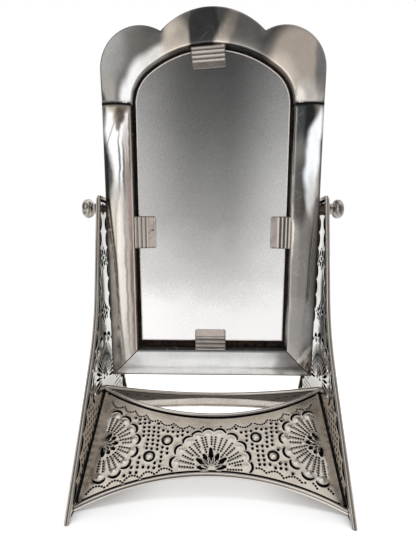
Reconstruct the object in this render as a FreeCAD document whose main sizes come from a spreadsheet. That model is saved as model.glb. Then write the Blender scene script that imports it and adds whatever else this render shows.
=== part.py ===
import FreeCAD, Part
import math
import os
import Sketcher

# A tin table mirror that swings between two side panels.
# Millimetres. X runs from side to side, the mirror faces -Y and Z points up.
# The origin is on the table, under the middle of the stand.
# The mirror's own frame has its origin on the pivot axis, halfway between the panels.

DRIVING_SIZES = [
    ("sheet_gauge", 0.8, "tin sheet of the stand"),
    ("rim_wire", 2.0, "wire inside the rolled edges"),
    ("wire_clearance", 0.1, "between the wire and the roll, on the radius"),
    ("stand_half_width", 100, "middle of the stand to the outside of a panel rim"),
    ("rim_top_height", 232.1, "table to the middle of the rim across a panel's top"),
    ("rim_top_half_depth", 13.1, "half the depth of a panel at its top"),
    ("rim_top_corner", 4, "radius of the rim at a panel's top corners"),
    ("waist_height", 118, "where the lines of a panel's two leg stretches cross"),
    ("waist_half_depth", 28.2, "half the depth of a panel at that crossing"),
    ("waist_run", 29, "how far the bend reaches along each stretch"),
    ("rim_foot_half_depth", 106.8, "half the depth of a panel on the table"),
    ("apron_top_height", 59, "table to an apron's top corners"),
    ("apron_top_half_gap", 2.4, "middle of the stand to an apron's top corners"),
    ("apron_foot_height", 2.4, "table to the middle of the rim at a bottom corner"),
    ("apron_foot_inset", 14.8, "panel's foot to an apron's bottom corner"),
    ("apron_top_dip", 27.7, "how far an apron's top edge sinks at its middle"),
    ("apron_arch_rise", 25.8, "how far an apron's bottom edge rises at its middle"),
    ("apron_side_gap", 0.15, "between an apron and the panel beside it"),
    ("solder_leg", 1.5, "legs of the solder line along an apron's side"),
    ("solder_end_gap", 3.6, "bare stretch at each end of a solder line"),
    ("pivot_drop", 9.1, "rim across a panel's top down to the pivot axis"),
    ("mirror_lean", 5.7, "degrees that the mirror leans forward at rest"),
    ("frame_gauge", 0.6, "tin sheet of the mirror frame"),
    ("frame_side_gap", 4, "between the frame and a panel's inner face"),
    ("frame_swing_gap", 9, "aprons' top corners up to the frame's bottom, hanging straight"),
    ("frame_depth", 12, "depth of the rails' side walls"),
    ("edge_lead", 5, "frame's front edges ahead of the pivot axis"),
    ("rail_width", 24.5, "width of the rails"),
    ("rail_crown", 3.4, "how far a rail's face bulges"),
    ("joint_height", 87, "pivot axis up to the joint of crest and rails"),
    ("joint_width", 1.6, "solder between crest and rails"),
    ("mitre_width", 0.8, "solder in the two lower mitres"),
    ("crest_lead", 1.5, "crest's face ahead of the frame's front edges"),
    ("crest_lobe_rise", 27, "joint up to the centre of a side lobe"),
    ("crest_lobe_radius", 34, "radius of the crest's side lobes"),
    ("crest_crown_radius", 60, "radius of the crest's middle lobe"),
    ("crest_band", 26.9, "top of the opening up to the top of the crest"),
    ("arch_rise", 47, "joint up to the top of the frame's opening"),
    ("arch_corner_radius", 35, "radius where the arch meets its sides"),
    ("cover_gauge", 0.6, "sheet that closes the back"),
    ("cover_inset", 0.4, "cover's edge inside the frame's outline"),
    ("board_gap", 0.4, "between the board and the opening's walls"),
    ("board_thickness", 3.2, "board behind the glass"),
    ("glass_thickness", 3, "mirror glass"),
    ("glass_inset", 3.2, "glass inside the opening, at the sides and the arch"),
    ("glass_bottom_gap", 7.9, "opening's lower wall up to the glass"),
    ("clip_gauge", 0.5, "folded tin clips"),
    ("clip_width", 28.5, "length of a clip along the edge it holds"),
    ("clip_reach", 18.5, "opening's wall to the tip of the left and bottom clips"),
    ("right_clip_reach", 16.8, "the same for the clip on the right"),
    ("top_clip_reach", 16.5, "the same for the clip at the top"),
    ("clip_root", 3, "height of the clip's leg on the opening's wall"),
    ("clip_seat_gap", 0.1, "between a clip and what it meets"),
    ("clip_lead", 0.6, "clip's first ridge behind the frame's front edges"),
    ("side_clip_drop", 21, "pivot axis down to the middle of the side clips"),
    ("top_clip_offset", 4.2, "top clip's middle to the left of the frame's middle"),
    ("top_clip_drop", 1.9, "arch's top down to the root of the top clip"),
    ("top_clip_turn", 4.4, "degrees that the top clip is turned"),
    ("bottom_clip_offset", 1.4, "bottom clip's middle to the left"),
    ("bolt_diameter", 4.8, "pivot bolts"),
    ("turning_clearance", 0.06, "round a pivot bolt, on the radius"),
    ("hole_clearance", 0.1, "round a pivot bolt in the frame, on the radius"),
    ("face_clearance", 0.1, "between flat faces that turn on each other"),
    ("bolt_head_diameter", 8.4, "head inside the rail"),
    ("bolt_head_thickness", 3, "head inside the rail"),
    ("bolt_end_cover", 4.4, "pivot bolt's end to the end of its knob"),
    ("spacer_wall", 0.7, "wall of the sleeve on the left bolt"),
    ("nut_flats", 9.5, "nut on the right bolt, across the flats"),
    ("frame_washer_thickness", 0.7, "washer under that nut"),
    ("frame_washer_diameter", 10.8, "washer under that nut"),
    ("knob_washer_diameter", 11, "washers under the knobs"),
    ("knob_washer_thickness", 1.2, "washers under the knobs"),
    ("collar_diameter", 9.4, "knob's collar"),
    ("collar_length", 6.1, "knob's collar"),
    ("collar_groove", 0.6, "depth and half width of the groove round the collar"),
    ("knob_diameter", 16.8, "knob's ball"),
    ("knob_ball_length", 9.4, "knob's ball, along the axis"),
    ("knob_nose", 6.4, "flat on the knob's end, across"),
    ("overrun", 6, "how far cuts run past the metal"),
]

RIDGE_COUNT = 3
RIDGE_SHARE = 0.56
RIDGE_FALL_SHARE = 0.3
RIDGE_HEIGHT_SHARE = 0.55

doc = FreeCAD.newDocument("TableMirror")
sheet = doc.addObject("Spreadsheet::Sheet", "Sizes")
for row, (alias, amount, meaning) in enumerate(DRIVING_SIZES, 1):
    sheet.set(f"A{row}", alias)
    sheet.set(f"B{row}", str(amount))
    sheet.setAlias(f"B{row}", alias)
    sheet.set(f"C{row}", meaning)
doc.recompute()


class Size:
    """A size with its value now and the formula that ties it to the sheet."""

    def __init__(self, value, formula):
        self.value = value
        self.formula = formula

    def __add__(self, other):
        other = as_size(other)
        return Size(self.value + other.value, f"({self.formula} + {other.formula})")

    def __sub__(self, other):
        other = as_size(other)
        return Size(self.value - other.value, f"({self.formula} - {other.formula})")

    def __mul__(self, other):
        other = as_size(other)
        return Size(self.value * other.value, f"{self.formula} * {other.formula}")

    def __truediv__(self, other):
        other = as_size(other)
        return Size(self.value / other.value, f"{self.formula} / ({other.formula})")

    def __neg__(self):
        return Size(-self.value, f"(0 - {self.formula})")

    __rmul__ = __mul__


def as_size(amount):
    """A plain factor as a Size, so that it can stand in a formula."""
    return amount if isinstance(amount, Size) else Size(amount, f"({amount})")


def size(alias):
    """The sheet's cell of that name."""
    return Size(float(getattr(sheet, alias)), f"Sizes.{alias}")


def root(square):
    return Size(math.sqrt(square.value), f"sqrt({square.formula})")


def slope_angle(rise, run):
    """Angle in degrees whose tangent is rise over run."""
    return Size(
        math.degrees(math.atan(rise.value / run.value)),
        f"atan({rise.formula} / ({run.formula}))",
    )


def arc_radius(half_chord, height):
    """Radius of an arc from half its chord and its height over the chord."""
    return (half_chord * half_chord + height * height) / (2 * height)


def level_arc_radius(run, climb):
    """Radius of an arc that leaves level and falls by climb over run."""
    return (run * run + climb * climb) / (2 * climb)


def bind(thing, prop, amount):
    """Tie a property to a Size, through the sheet."""
    thing.setExpression(prop, as_size(amount).formula)


ZERO = Size(0, "0")
CENTRE = (ZERO, ZERO)
RIM_TOP = (ZERO, size("rim_top_height"))
WIRE_RADIUS = size("rim_wire") / 2
ROLL_BORE_RADIUS = WIRE_RADIUS + size("wire_clearance")
RIM_RADIUS = ROLL_BORE_RADIUS + size("sheet_gauge")
RIM_DIAMETER = RIM_RADIUS * 2
PANEL_MIDDLE = size("stand_half_width") - RIM_RADIUS
PANEL_INSIDE = PANEL_MIDDLE - size("sheet_gauge") / 2
PANEL_OUTSIDE = PANEL_MIDDLE + size("sheet_gauge") / 2
APRON_HALF_WIDTH = PANEL_INSIDE - size("apron_side_gap")
APRON_FOOT_HALF_DEPTH = size("rim_foot_half_depth") - size("apron_foot_inset")
APRON_RUN = APRON_FOOT_HALF_DEPTH - size("apron_top_half_gap")
APRON_CLIMB = size("apron_top_height") - size("apron_foot_height")
APRON_SLANT = root(APRON_RUN * APRON_RUN + APRON_CLIMB * APRON_CLIMB)
APRON_LEAN = slope_angle(APRON_CLIMB, APRON_RUN)
PIVOT_HEIGHT = size("rim_top_height") - size("pivot_drop")
HALF_FRAME = PANEL_INSIDE - size("frame_side_gap")
FRAME_DROP = PIVOT_HEIGHT - size("apron_top_height") - size("frame_swing_gap")
OPENING_HALF_WIDTH = HALF_FRAME - size("rail_width")
OPENING_DROP = FRAME_DROP - size("rail_width")
FRAME_BACK = size("frame_depth") - size("edge_lead")
BOARD_FRONT = FRAME_BACK - size("board_thickness")
GLASS_FRONT = BOARD_FRONT - size("glass_thickness")
CREST_BOTTOM = size("joint_height") + size("joint_width") / 2
CREST_LOBE_HEIGHT = size("joint_height") + size("crest_lobe_rise")
ARCH_TOP = CREST_BOTTOM + size("arch_rise")
CREST_TOP = ARCH_TOP + size("crest_band")
BOLT_RADIUS = size("bolt_diameter") / 2
BOLT_HOLE_RADIUS = BOLT_RADIUS + size("hole_clearance")
TURNING_BORE_RADIUS = BOLT_RADIUS + size("turning_clearance")
KNOB_WASHER_START = PANEL_OUTSIDE + size("face_clearance")
KNOB_START = KNOB_WASHER_START + size("knob_washer_thickness") + size("face_clearance")
KNOB_BALL_START = KNOB_START + size("collar_length")
KNOB_END = KNOB_BALL_START + size("knob_ball_length")
BOLT_END = KNOB_END - size("bolt_end_cover")
MIRROR_PLACE = f"placement(vector(0; 0; {PIVOT_HEIGHT.formula}); rotationx(Sizes.mirror_lean))"


def new_body(name, place=None):
    """A body with its own label, and its placement tied to the sheet."""
    body = doc.addObject("PartDesign::Body", name)
    body.Label = name
    if place:
        body.setExpression("Placement", place)
    return body


def new_sketch(body, role, name, offset=None):
    """A sketch on one of the body's origin planes, or lifted off it along its normal."""
    plane = [item for item in body.Origin.OriginFeatures if item.Role == role][0]
    sketch = body.newObject("Sketcher::SketchObject", name)
    sketch.AttachmentSupport = (plane, "")
    sketch.MapMode = "FlatFace"
    if offset is not None:
        bind(sketch, "AttachmentOffset.Base.z", offset)
    return sketch


def fix_point(sketch, geometry, point, place):
    """Tie a point of the sketch to the Sizes in place. A plain number there stays free."""
    for kind, axis, amount in (("DistanceX", -2, place[0]), ("DistanceY", -1, place[1])):
        if not isinstance(amount, Size):
            continue
        if amount.value == 0:
            sketch.addConstraint(Sketcher.Constraint("PointOnObject", geometry, point, axis))
            continue
        index = sketch.addConstraint(
            Sketcher.Constraint(kind, -1, 1, geometry, point, amount.value)
        )
        bind(sketch, f"Constraints[{index}]", amount)


def plain(place):
    """A point's present coordinates as a vector."""
    return FreeCAD.Vector(as_size(place[0]).value, as_size(place[1]).value, 0)


def line(end):
    return {"end": end}


def arc(end, radius, side, centre=None):
    """An arc under a half circle. side is +1 when it turns left on the way to end."""
    return {"end": end, "radius": radius, "side": side, "centre": centre}


def arc_edge(start, end, radius, side):
    chord = end - start
    reach = max(radius * radius - (chord.Length / 2) ** 2, 0)
    across = FreeCAD.Vector(-chord.y, chord.x, 0).normalize() * side
    centre = start + chord / 2 + across * math.sqrt(reach)
    through = centre - across * radius
    return Part.Arc(start, through, end)


def end_at(sketch, geometry, target):
    """Which end of the geometry, its first or its second, lies at the target."""
    first, second = (sketch.getPoint(geometry, end) for end in (1, 2))
    return 1 if first.distanceToPoint(target) < second.distanceToPoint(target) else 2


def draw(sketch, start, steps, closed=True):
    """Draw lines and arcs one after the other, tied to the Sizes in their end points."""
    here = plain(start)
    first = None
    last = None
    for number, step in enumerate(steps):
        there = plain(step["end"])
        closing = closed and number == len(steps) - 1
        if "radius" in step:
            curve = arc_edge(here, there, as_size(step["radius"]).value, step["side"])
        else:
            curve = Part.LineSegment(here, there)
        index = sketch.addGeometry(curve, False)
        begin = end_at(sketch, index, here)
        finish = end_at(sketch, index, there)
        if last is None:
            first = (index, begin)
            fix_point(sketch, index, begin, start)
        else:
            sketch.addConstraint(Sketcher.Constraint("Coincident", *last, index, begin))
        if closing:
            sketch.addConstraint(Sketcher.Constraint("Coincident", index, finish, *first))
        else:
            fix_point(sketch, index, finish, step["end"])
        if "radius" in step:
            if isinstance(step["radius"], Size):
                fixed = sketch.addConstraint(
                    Sketcher.Constraint("Radius", index, step["radius"].value)
                )
                bind(sketch, f"Constraints[{fixed}]", step["radius"])
            if step["centre"]:
                fix_point(sketch, index, 3, step["centre"])
        last = (index, finish)
        here = there
    return sketch


def draw_circle(sketch, centre, radius):
    circle = Part.Circle(plain(centre), FreeCAD.Vector(0, 0, 1), radius.value)
    index = sketch.addGeometry(circle, False)
    fix_point(sketch, index, 3, centre)
    fixed = sketch.addConstraint(Sketcher.Constraint("Radius", index, radius.value))
    bind(sketch, f"Constraints[{fixed}]", radius)
    return sketch


def pad(body, sketch, length, side_type="One side", reverse=False):
    feature = body.newObject("PartDesign::Pad", sketch.Name + "Pad")
    feature.Profile = sketch
    feature.SideType = side_type
    feature.Reversed = reverse
    bind(feature, "Length", length)
    doc.recompute()
    return feature


def pocket(body, sketch, length, side_type="One side", reverse=False):
    """A cut that has to take some metal away."""
    before = body.Shape.Volume
    feature = body.newObject("PartDesign::Pocket", sketch.Name + "Pocket")
    feature.Profile = sketch
    feature.SideType = side_type
    feature.Reversed = reverse
    bind(feature, "Length", length)
    doc.recompute()
    if body.Shape.Volume >= before:
        raise RuntimeError(f"{sketch.Name} cuts nothing")
    return feature


def revolve(body, sketch, kind, axis, angle=None):
    """Turn a sketch about one of its own axes, evenly to both sides when an angle is given."""
    feature = body.newObject(kind, sketch.Name + "Turned")
    feature.Profile = sketch
    feature.ReferenceAxis = (sketch, [axis])
    if angle is not None:
        feature.Midplane = True
        bind(feature, "Angle", angle)
    doc.recompute()
    return feature


def rim_path(way):
    """Middle line of a panel's rim, from the middle of the top down past one foot."""
    top_depth = size("rim_top_half_depth")
    top = size("rim_top_height")
    waist_depth = size("waist_half_depth")
    waist = size("waist_height")
    foot_depth = size("rim_foot_half_depth")
    upper_run = top - waist
    upper_out = waist_depth - top_depth
    upper = root(upper_run * upper_run + upper_out * upper_out)
    lower_out = foot_depth - waist_depth
    lower = root(waist * waist + lower_out * lower_out)
    bend = size("waist_run")
    upper_angle = slope_angle(upper_out, upper_run)
    lower_angle = slope_angle(lower_out, waist)
    half_turn = (lower_angle - upper_angle) / 2
    bend_radius = Size(
        bend.value / math.tan(math.radians(half_turn.value)),
        f"{bend.formula} / tan({half_turn.formula})",
    )
    corner = size("rim_top_corner")
    quarter_run = Size(
        corner.value * math.tan(math.radians((90 - upper_angle.value) / 2)),
        f"{corner.formula} * tan((90 deg - {upper_angle.formula}) / 2)",
    )
    past = size("overrun")
    along_top = (way * (top_depth - quarter_run), top)
    corner_end = (
        way * (top_depth + quarter_run * upper_out / upper),
        top - quarter_run * upper_run / upper,
    )
    bend_start = (
        way * (waist_depth - bend * upper_out / upper),
        waist + bend * upper_run / upper,
    )
    bend_end = (
        way * (waist_depth + bend * lower_out / lower),
        waist - bend * waist / lower,
    )
    foot_end = (
        way * (foot_depth + past * lower_out / lower),
        -(past * waist / lower),
    )
    steps = [
        line(along_top),
        arc(corner_end, corner, -way),
        line(bend_start),
        arc(bend_end, bend_radius, way),
        line(foot_end),
    ]
    return steps


def panel_rim(body, kind, name, radius):
    """A round section run along both halves of the rim, as metal or as a cut."""
    for way, end in ((-1, "Front"), (1, "Rear")):
        section = new_sketch(body, "XZ_Plane", f"{name}{end}Section")
        draw_circle(section, RIM_TOP, radius)
        path = new_sketch(body, "YZ_Plane", f"{name}{end}Path")
        draw(path, RIM_TOP, rim_path(way), closed=False)
        doc.recompute()
        pipe = body.newObject(kind, f"{name}{end}Pipe")
        pipe.Profile = section
        pipe.Spine = (path, [])
        doc.recompute()


def cut_at_table(body, name):
    """Trim what runs below the table, so that the part stands on flat edges."""
    sketch = new_sketch(body, "XY_Plane", f"{name}Table")
    reach = size("rim_foot_half_depth") + size("overrun") * 2
    draw_rectangle(sketch, -size("overrun"), size("overrun"), -reach, reach)
    pocket(body, sketch, size("overrun") * 2)


def draw_rectangle(sketch, left, right, low, high):
    steps = [line((right, low)), line((right, high)), line((left, high)), line((left, low))]
    return draw(sketch, (left, low), steps)


def make_side_panel(name, side):
    """Flat sheet with its front, top and rear edges rolled round a wire."""
    body = new_body(name, f"placement(vector(({side}) * {PANEL_MIDDLE.formula}; 0; 0); rotationx(0))")
    outline = new_sketch(body, "YZ_Plane", f"{name}Outline")
    foot = rim_path(-1)[-1]["end"]
    draw(outline, foot, backwards(RIM_TOP, rim_path(-1)) + rim_path(1) + [line(foot)])
    pad(body, outline, size("sheet_gauge"), "Symmetric")
    panel_rim(body, "PartDesign::AdditivePipe", f"{name}Roll", RIM_RADIUS)
    panel_rim(body, "PartDesign::SubtractivePipe", f"{name}RollBore", ROLL_BORE_RADIUS)
    cut_at_table(body, name)
    hole = new_sketch(body, "YZ_Plane", f"{name}PivotHole")
    draw_circle(hole, (ZERO, PIVOT_HEIGHT), TURNING_BORE_RADIUS)
    pocket(body, hole, RIM_DIAMETER, "Symmetric")
    return body


def make_panel_wire(name, side):
    """Wire inside a panel's rolled edge."""
    body = new_body(name, f"placement(vector(({side}) * {PANEL_MIDDLE.formula}; 0; 0); rotationx(0))")
    panel_rim(body, "PartDesign::AdditivePipe", name, WIRE_RADIUS)
    cut_at_table(body, name)
    return body


def apron_place(way):
    """Apron plane: local X across, local Y up the slope, local Z out of the outer face."""
    turn = "rotationx(0)" if way < 0 else "rotationz(180)"
    base = f"vector(0; ({way}) * {APRON_FOOT_HALF_DEPTH.formula}; Sizes.apron_foot_height)"
    return f"placement({base}; {turn} * rotationx({APRON_LEAN.formula}))"


def apron_edges():
    """Radius and centre height of the top and bottom edges, in the apron's plane."""
    dip = size("apron_top_dip")
    rise = size("apron_arch_rise")
    top_radius = arc_radius(APRON_HALF_WIDTH, dip)
    arch_radius = arc_radius(APRON_HALF_WIDTH, rise)
    return {
        "top": (top_radius, APRON_SLANT - dip + top_radius, -1),
        "arch": (arch_radius, rise - arch_radius, 1),
    }


def apron_bead(body, name, kind, edge, section_radius):
    """A round section turned about the centre of an apron's curved edge."""
    radius, centre, way = apron_edges()[edge]
    section = new_sketch(body, "YZ_Plane", f"{name}Section")
    bind(section, "AttachmentOffset.Base.x", centre)
    draw_circle(section, (radius * way, ZERO), section_radius)
    half_sweep = slope_angle(APRON_HALF_WIDTH + size("overrun"), radius - size(
        "apron_top_dip" if edge == "top" else "apron_arch_rise"))
    revolve(body, section, kind, "V_Axis", half_sweep * 2)


def trim_apron_sides(body, name):
    """Square off the ends of the beads at the apron's two sides."""
    for side, end in ((-1, "Left"), (1, "Right")):
        sketch = new_sketch(body, "XY_Plane", f"{name}{end}Trim")
        past = APRON_HALF_WIDTH + size("overrun") * 3
        low = -size("apron_top_dip")
        high = APRON_SLANT + size("apron_top_dip")
        draw_rectangle(sketch, APRON_HALF_WIDTH * side, past * side, low, high)
        pocket(body, sketch, RIM_DIAMETER * 2, "Symmetric")


def make_apron(name, way):
    """Leaning sheet between the panels, with a rolled edge above and below."""
    body = new_body(name, apron_place(way))
    edges = apron_edges()
    outline = new_sketch(body, "XY_Plane", f"{name}Outline")
    steps = [
        arc((APRON_HALF_WIDTH, ZERO), edges["arch"][0], -1),
        line((APRON_HALF_WIDTH, APRON_SLANT)),
        arc((-APRON_HALF_WIDTH, APRON_SLANT), edges["top"][0], -1),
        line((-APRON_HALF_WIDTH, ZERO)),
    ]
    draw(outline, (-APRON_HALF_WIDTH, ZERO), steps)
    pad(body, outline, size("sheet_gauge"), "Symmetric")
    for edge in edges:
        apron_bead(body, f"{name}{edge}Roll", "PartDesign::Revolution", edge, RIM_RADIUS)
    for edge in edges:
        apron_bead(body, f"{name}{edge}Bore", "PartDesign::Groove", edge, ROLL_BORE_RADIUS)
    trim_apron_sides(body, name)
    return body


def make_apron_wire(name, way, edge):
    body = new_body(name, apron_place(way))
    apron_bead(body, name, "PartDesign::Revolution", edge, WIRE_RADIUS)
    trim_apron_sides(body, name)
    return body


def make_apron_solder(name, way, side):
    """Three-cornered solder line where an apron's outer face meets a panel."""
    body = new_body(name, apron_place(way))
    section = new_sketch(body, "XZ_Plane", f"{name}Section", -size("solder_end_gap"))
    wall = PANEL_INSIDE * side
    face = size("sheet_gauge") / 2
    steps = [
        line((wall, face + size("solder_leg"))),
        line((wall - size("solder_leg") * side, face)),
        line((wall, face)),
    ]
    draw(section, (wall, face), steps)
    pad(body, section, APRON_SLANT - size("solder_end_gap") * 2, reverse=True)
    return body


def rail_section(sketch, outer, inner, depth_first=False):
    """Channel section of a rail: two walls and a bulging face between them.

    outer and inner are the places of the two walls along the rail's width.
    depth_first tells that the rail's depth runs along the sketch's first axis.
    """
    gauge = size("frame_gauge")
    way = 1 if outer.value < inner.value else -1
    radius = arc_radius(size("rail_width") / 2, size("rail_crown"))
    drop = radius - size("rail_crown")
    half_inside = size("rail_width") / 2 - gauge
    inside_radius = radius - gauge
    inside_edge = root(inside_radius * inside_radius - half_inside * half_inside) - drop
    front = -size("edge_lead")
    outer_in = outer + gauge * way
    inner_in = inner - gauge * way
    points = [
        (outer, FRAME_BACK),
        (outer, front),
        (inner, front),
        (inner, FRAME_BACK),
        (inner_in, FRAME_BACK),
        (inner_in, front - inside_edge),
        (outer_in, front - inside_edge),
        (outer_in, FRAME_BACK),
    ]
    turn = way
    if depth_first:
        points = [(depth, across) for across, depth in points]
        turn = -turn
    steps = [line(point) for point in points[1:]] + [line(points[0])]
    steps[1] = arc(points[2], radius, turn)
    steps[5] = arc(points[6], inside_radius, -turn)
    return draw(sketch, points[0], steps)


def cut_beyond_mitre(body, name, side, above, shift):
    """Cut away what lies above or below a lower corner's mitre line."""
    sketch = new_sketch(body, "XZ_Plane", f"{name}Mitre")
    past = size("overrun")
    reach = size("rail_width") + past
    low_corner = (HALF_FRAME + past) * side
    high_corner = (HALF_FRAME - reach) * side
    bottom = shift - FRAME_DROP
    far = bottom + reach if above else bottom - past
    steps = [
        line((high_corner, bottom + reach)),
        line((low_corner if above else high_corner, far)),
        line((low_corner, bottom - past)),
    ]
    draw(sketch, (low_corner, bottom - past), steps)
    pocket(body, sketch, size("frame_depth") * 4, "Symmetric")


def mitre_shift():
    """Half the mitre's solder width, measured upward."""
    return size("mitre_width") / math.sqrt(2)


def make_side_rail(name, side):
    body = new_body(name, MIRROR_PLACE)
    section = new_sketch(body, "XY_Plane", f"{name}Section", -FRAME_DROP)
    rail_section(section, HALF_FRAME * side, OPENING_HALF_WIDTH * side)
    pad(body, section, FRAME_DROP + size("joint_height") - size("joint_width") / 2)
    cut_beyond_mitre(body, name, side, False, mitre_shift())
    hole = new_sketch(body, "YZ_Plane", f"{name}BoltHole", HALF_FRAME * side)
    draw_circle(hole, CENTRE, BOLT_HOLE_RADIUS)
    pocket(body, hole, size("frame_gauge") * 4, "Symmetric")
    return body


def make_bottom_rail(name):
    body = new_body(name, MIRROR_PLACE)
    section = new_sketch(body, "YZ_Plane", f"{name}Section")
    rail_section(section, -FRAME_DROP, -OPENING_DROP, depth_first=True)
    pad(body, section, HALF_FRAME * 2, "Symmetric")
    for side, end in ((-1, "Left"), (1, "Right")):
        cut_beyond_mitre(body, name + end, side, True, -mitre_shift())
    return body


def make_mitre_solder(name, side):
    body = new_body(name, MIRROR_PLACE)
    section = new_sketch(body, "XY_Plane", f"{name}Section", -FRAME_DROP)
    rail_section(section, HALF_FRAME * side, OPENING_HALF_WIDTH * side)
    pad(body, section, size("rail_width") + size("mitre_width"))
    cut_beyond_mitre(body, name + "Low", side, False, -mitre_shift())
    cut_beyond_mitre(body, name + "High", side, True, mitre_shift())
    return body


def make_joint_solder(name, side):
    body = new_body(name, MIRROR_PLACE)
    base = size("joint_height") - size("joint_width") / 2
    section = new_sketch(body, "XY_Plane", f"{name}Section", base)
    rail_section(section, HALF_FRAME * side, OPENING_HALF_WIDTH * side)
    pad(body, section, size("joint_width"))
    return body


def lobe_steps(inset):
    """Crest outline from its right side, over three lobes, to its left side."""
    lobe = size("crest_lobe_radius") - inset
    crown = size("crest_crown_radius") - inset
    lobe_x = HALF_FRAME - size("crest_lobe_radius")
    lobe_z = CREST_LOBE_HEIGHT
    crown_z = CREST_TOP - size("crest_crown_radius")
    gap_z = crown_z.value - lobe_z.value
    apart = math.hypot(lobe_x.value, gap_z)
    along = (lobe.value ** 2 - crown.value ** 2 + apart ** 2) / (2 * apart)
    height = math.sqrt(lobe.value ** 2 - along ** 2)
    notch_x = lobe_x.value - (along * lobe_x.value - height * gap_z) / apart
    notch_z = lobe_z.value + (along * gap_z + height * lobe_x.value) / apart
    return [
        arc((notch_x, notch_z), lobe, 1, (None, lobe_z)),
        arc((-notch_x, notch_z), crown, 1, (ZERO, crown_z)),
        arc((-(HALF_FRAME - inset), lobe_z), lobe, 1, (None, lobe_z)),
    ]


def arch_steps(inset):
    """Three-centred arch from its right spring to its left one."""
    half = OPENING_HALF_WIDTH - inset
    rise = size("arch_rise") - inset
    small = size("arch_corner_radius") - inset
    flat = half - small
    large = (flat * flat + rise * rise - small * small) / (2 * (rise - small))
    share = small / (large - small)
    shoulder_x = flat + flat * share
    shoulder_z = CREST_BOTTOM + (large - rise) * share
    return [
        arc((shoulder_x, shoulder_z), small, 1),
        arc((-shoulder_x, shoulder_z), large, 1),
        arc((-half, CREST_BOTTOM), small, 1),
    ]


def backwards(start, steps):
    """The same line drawn from its end to its start."""
    ends = [start] + [step["end"] for step in steps]
    turned = []
    for number in range(len(steps) - 1, -1, -1):
        step = steps[number]
        if "radius" in step:
            turned.append(dict(step, end=ends[number], side=-step["side"]))
        else:
            turned.append(line(ends[number]))
    return turned


def draw_crest(sketch, inset, bottom):
    """Crest outline: lobes outside and the arch inside, down to the given level."""
    outside = HALF_FRAME - inset
    inside = OPENING_HALF_WIDTH + inset
    steps = [line((outside, CREST_LOBE_HEIGHT))]
    steps += lobe_steps(inset)
    steps += [line((-outside, bottom)), line((-inside, bottom))]
    if bottom.value < CREST_BOTTOM.value:
        steps += [line((-inside, CREST_BOTTOM))]
    steps += backwards((inside, CREST_BOTTOM), arch_steps(-inset))
    if bottom.value < CREST_BOTTOM.value:
        steps += [line((inside, bottom))]
    steps += [line((outside, bottom))]
    return draw(sketch, (outside, bottom), steps)


def make_crest(name):
    """Scalloped top of the frame: a face with walls turned back round its edges."""
    body = new_body(name, MIRROR_PLACE)
    outline = new_sketch(body, "XZ_Plane", f"{name}Outline", -FRAME_BACK)
    draw_crest(outline, ZERO, CREST_BOTTOM)
    full_depth = size("frame_depth") + size("crest_lead")
    pad(body, outline, full_depth)
    hollow = new_sketch(body, "XZ_Plane", f"{name}Hollow", -FRAME_BACK)
    draw_crest(hollow, size("frame_gauge"), CREST_BOTTOM - size("overrun"))
    pocket(body, hollow, full_depth - size("frame_gauge"), reverse=True)
    return body


def make_back_cover(name):
    body = new_body(name, MIRROR_PLACE)
    inset = size("cover_inset")
    outside = HALF_FRAME - inset
    low = inset - FRAME_DROP
    outline = new_sketch(body, "XZ_Plane", f"{name}Outline", -FRAME_BACK)
    steps = [line((outside, CREST_LOBE_HEIGHT))]
    steps += lobe_steps(inset)
    steps += [line((-outside, low)), line((outside, low))]
    draw(outline, (outside, low), steps)
    pad(body, outline, size("cover_gauge"), reverse=True)
    return body


def make_arched_plate(name, inset, bottom, front, thickness):
    """Flat plate with an arched top, its front face at the given depth."""
    body = new_body(name, MIRROR_PLACE)
    side = OPENING_HALF_WIDTH - inset
    outline = new_sketch(body, "XZ_Plane", f"{name}Outline", -front)
    steps = [line((side, CREST_BOTTOM))]
    steps += arch_steps(inset)
    steps += [line((-side, bottom)), line((side, bottom))]
    draw(outline, (side, bottom), steps)
    pad(body, outline, thickness, reverse=True)
    return body


def clip_place(x, z, turn):
    """Clip on an edge: local Z points from the edge into the opening."""
    return f"{MIRROR_PLACE} * placement(vector({x.formula}; 0; {z.formula}); rotationy({turn}))"


def make_clip(name, reach, place):
    """Folded strip: a leg on the wall, ridges, then a tongue on the glass."""
    body = new_body(name, place)
    gauge = size("clip_gauge")
    start = size("clip_seat_gap")
    front = -size("edge_lead") + size("clip_lead")
    tongue = GLASS_FRONT - gauge
    ridge_span = reach * RIDGE_SHARE
    pitch = ridge_span / RIDGE_COUNT
    ridge = size("clip_root") * RIDGE_HEIGHT_SHARE
    fall = (tongue - front) * RIDGE_FALL_SHARE
    top = [(front + size("clip_root"), start), (front, start)]
    for number in range(RIDGE_COUNT):
        base = front + fall * number
        foot = start + pitch * number
        top.append((base + ridge, foot + pitch * 3 / 4))
        top.append((base + fall, foot + pitch))
    top.append((tongue, start + ridge_span + pitch / 2))
    top.append((tongue, reach))
    under = [(depth + gauge, across) for depth, across in top[2:]]
    under = [(top[0][0], start + gauge), (front + gauge, start + gauge)] + under
    points = top + under[::-1]
    profile = new_sketch(body, "YZ_Plane", f"{name}Profile")
    steps = [line(point) for point in points[1:]] + [line(points[0])]
    draw(profile, points[0], steps)
    pad(body, profile, size("clip_width"), "Symmetric")
    return body


def along_axis(name, side):
    """Body whose local X runs outward along the pivot axis on the given side."""
    turn = "rotationz(180)" if side < 0 else "rotationz(0)"
    return new_body(name, f"{MIRROR_PLACE} * placement(vector(0; 0; 0); {turn})")


def make_ring(name, side, start, length, outer_radius, inner_radius):
    body = along_axis(name, side)
    sketch = new_sketch(body, "YZ_Plane", f"{name}Ring", start)
    draw_circle(sketch, CENTRE, outer_radius)
    draw_circle(sketch, CENTRE, inner_radius)
    pad(body, sketch, length)
    return body


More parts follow.
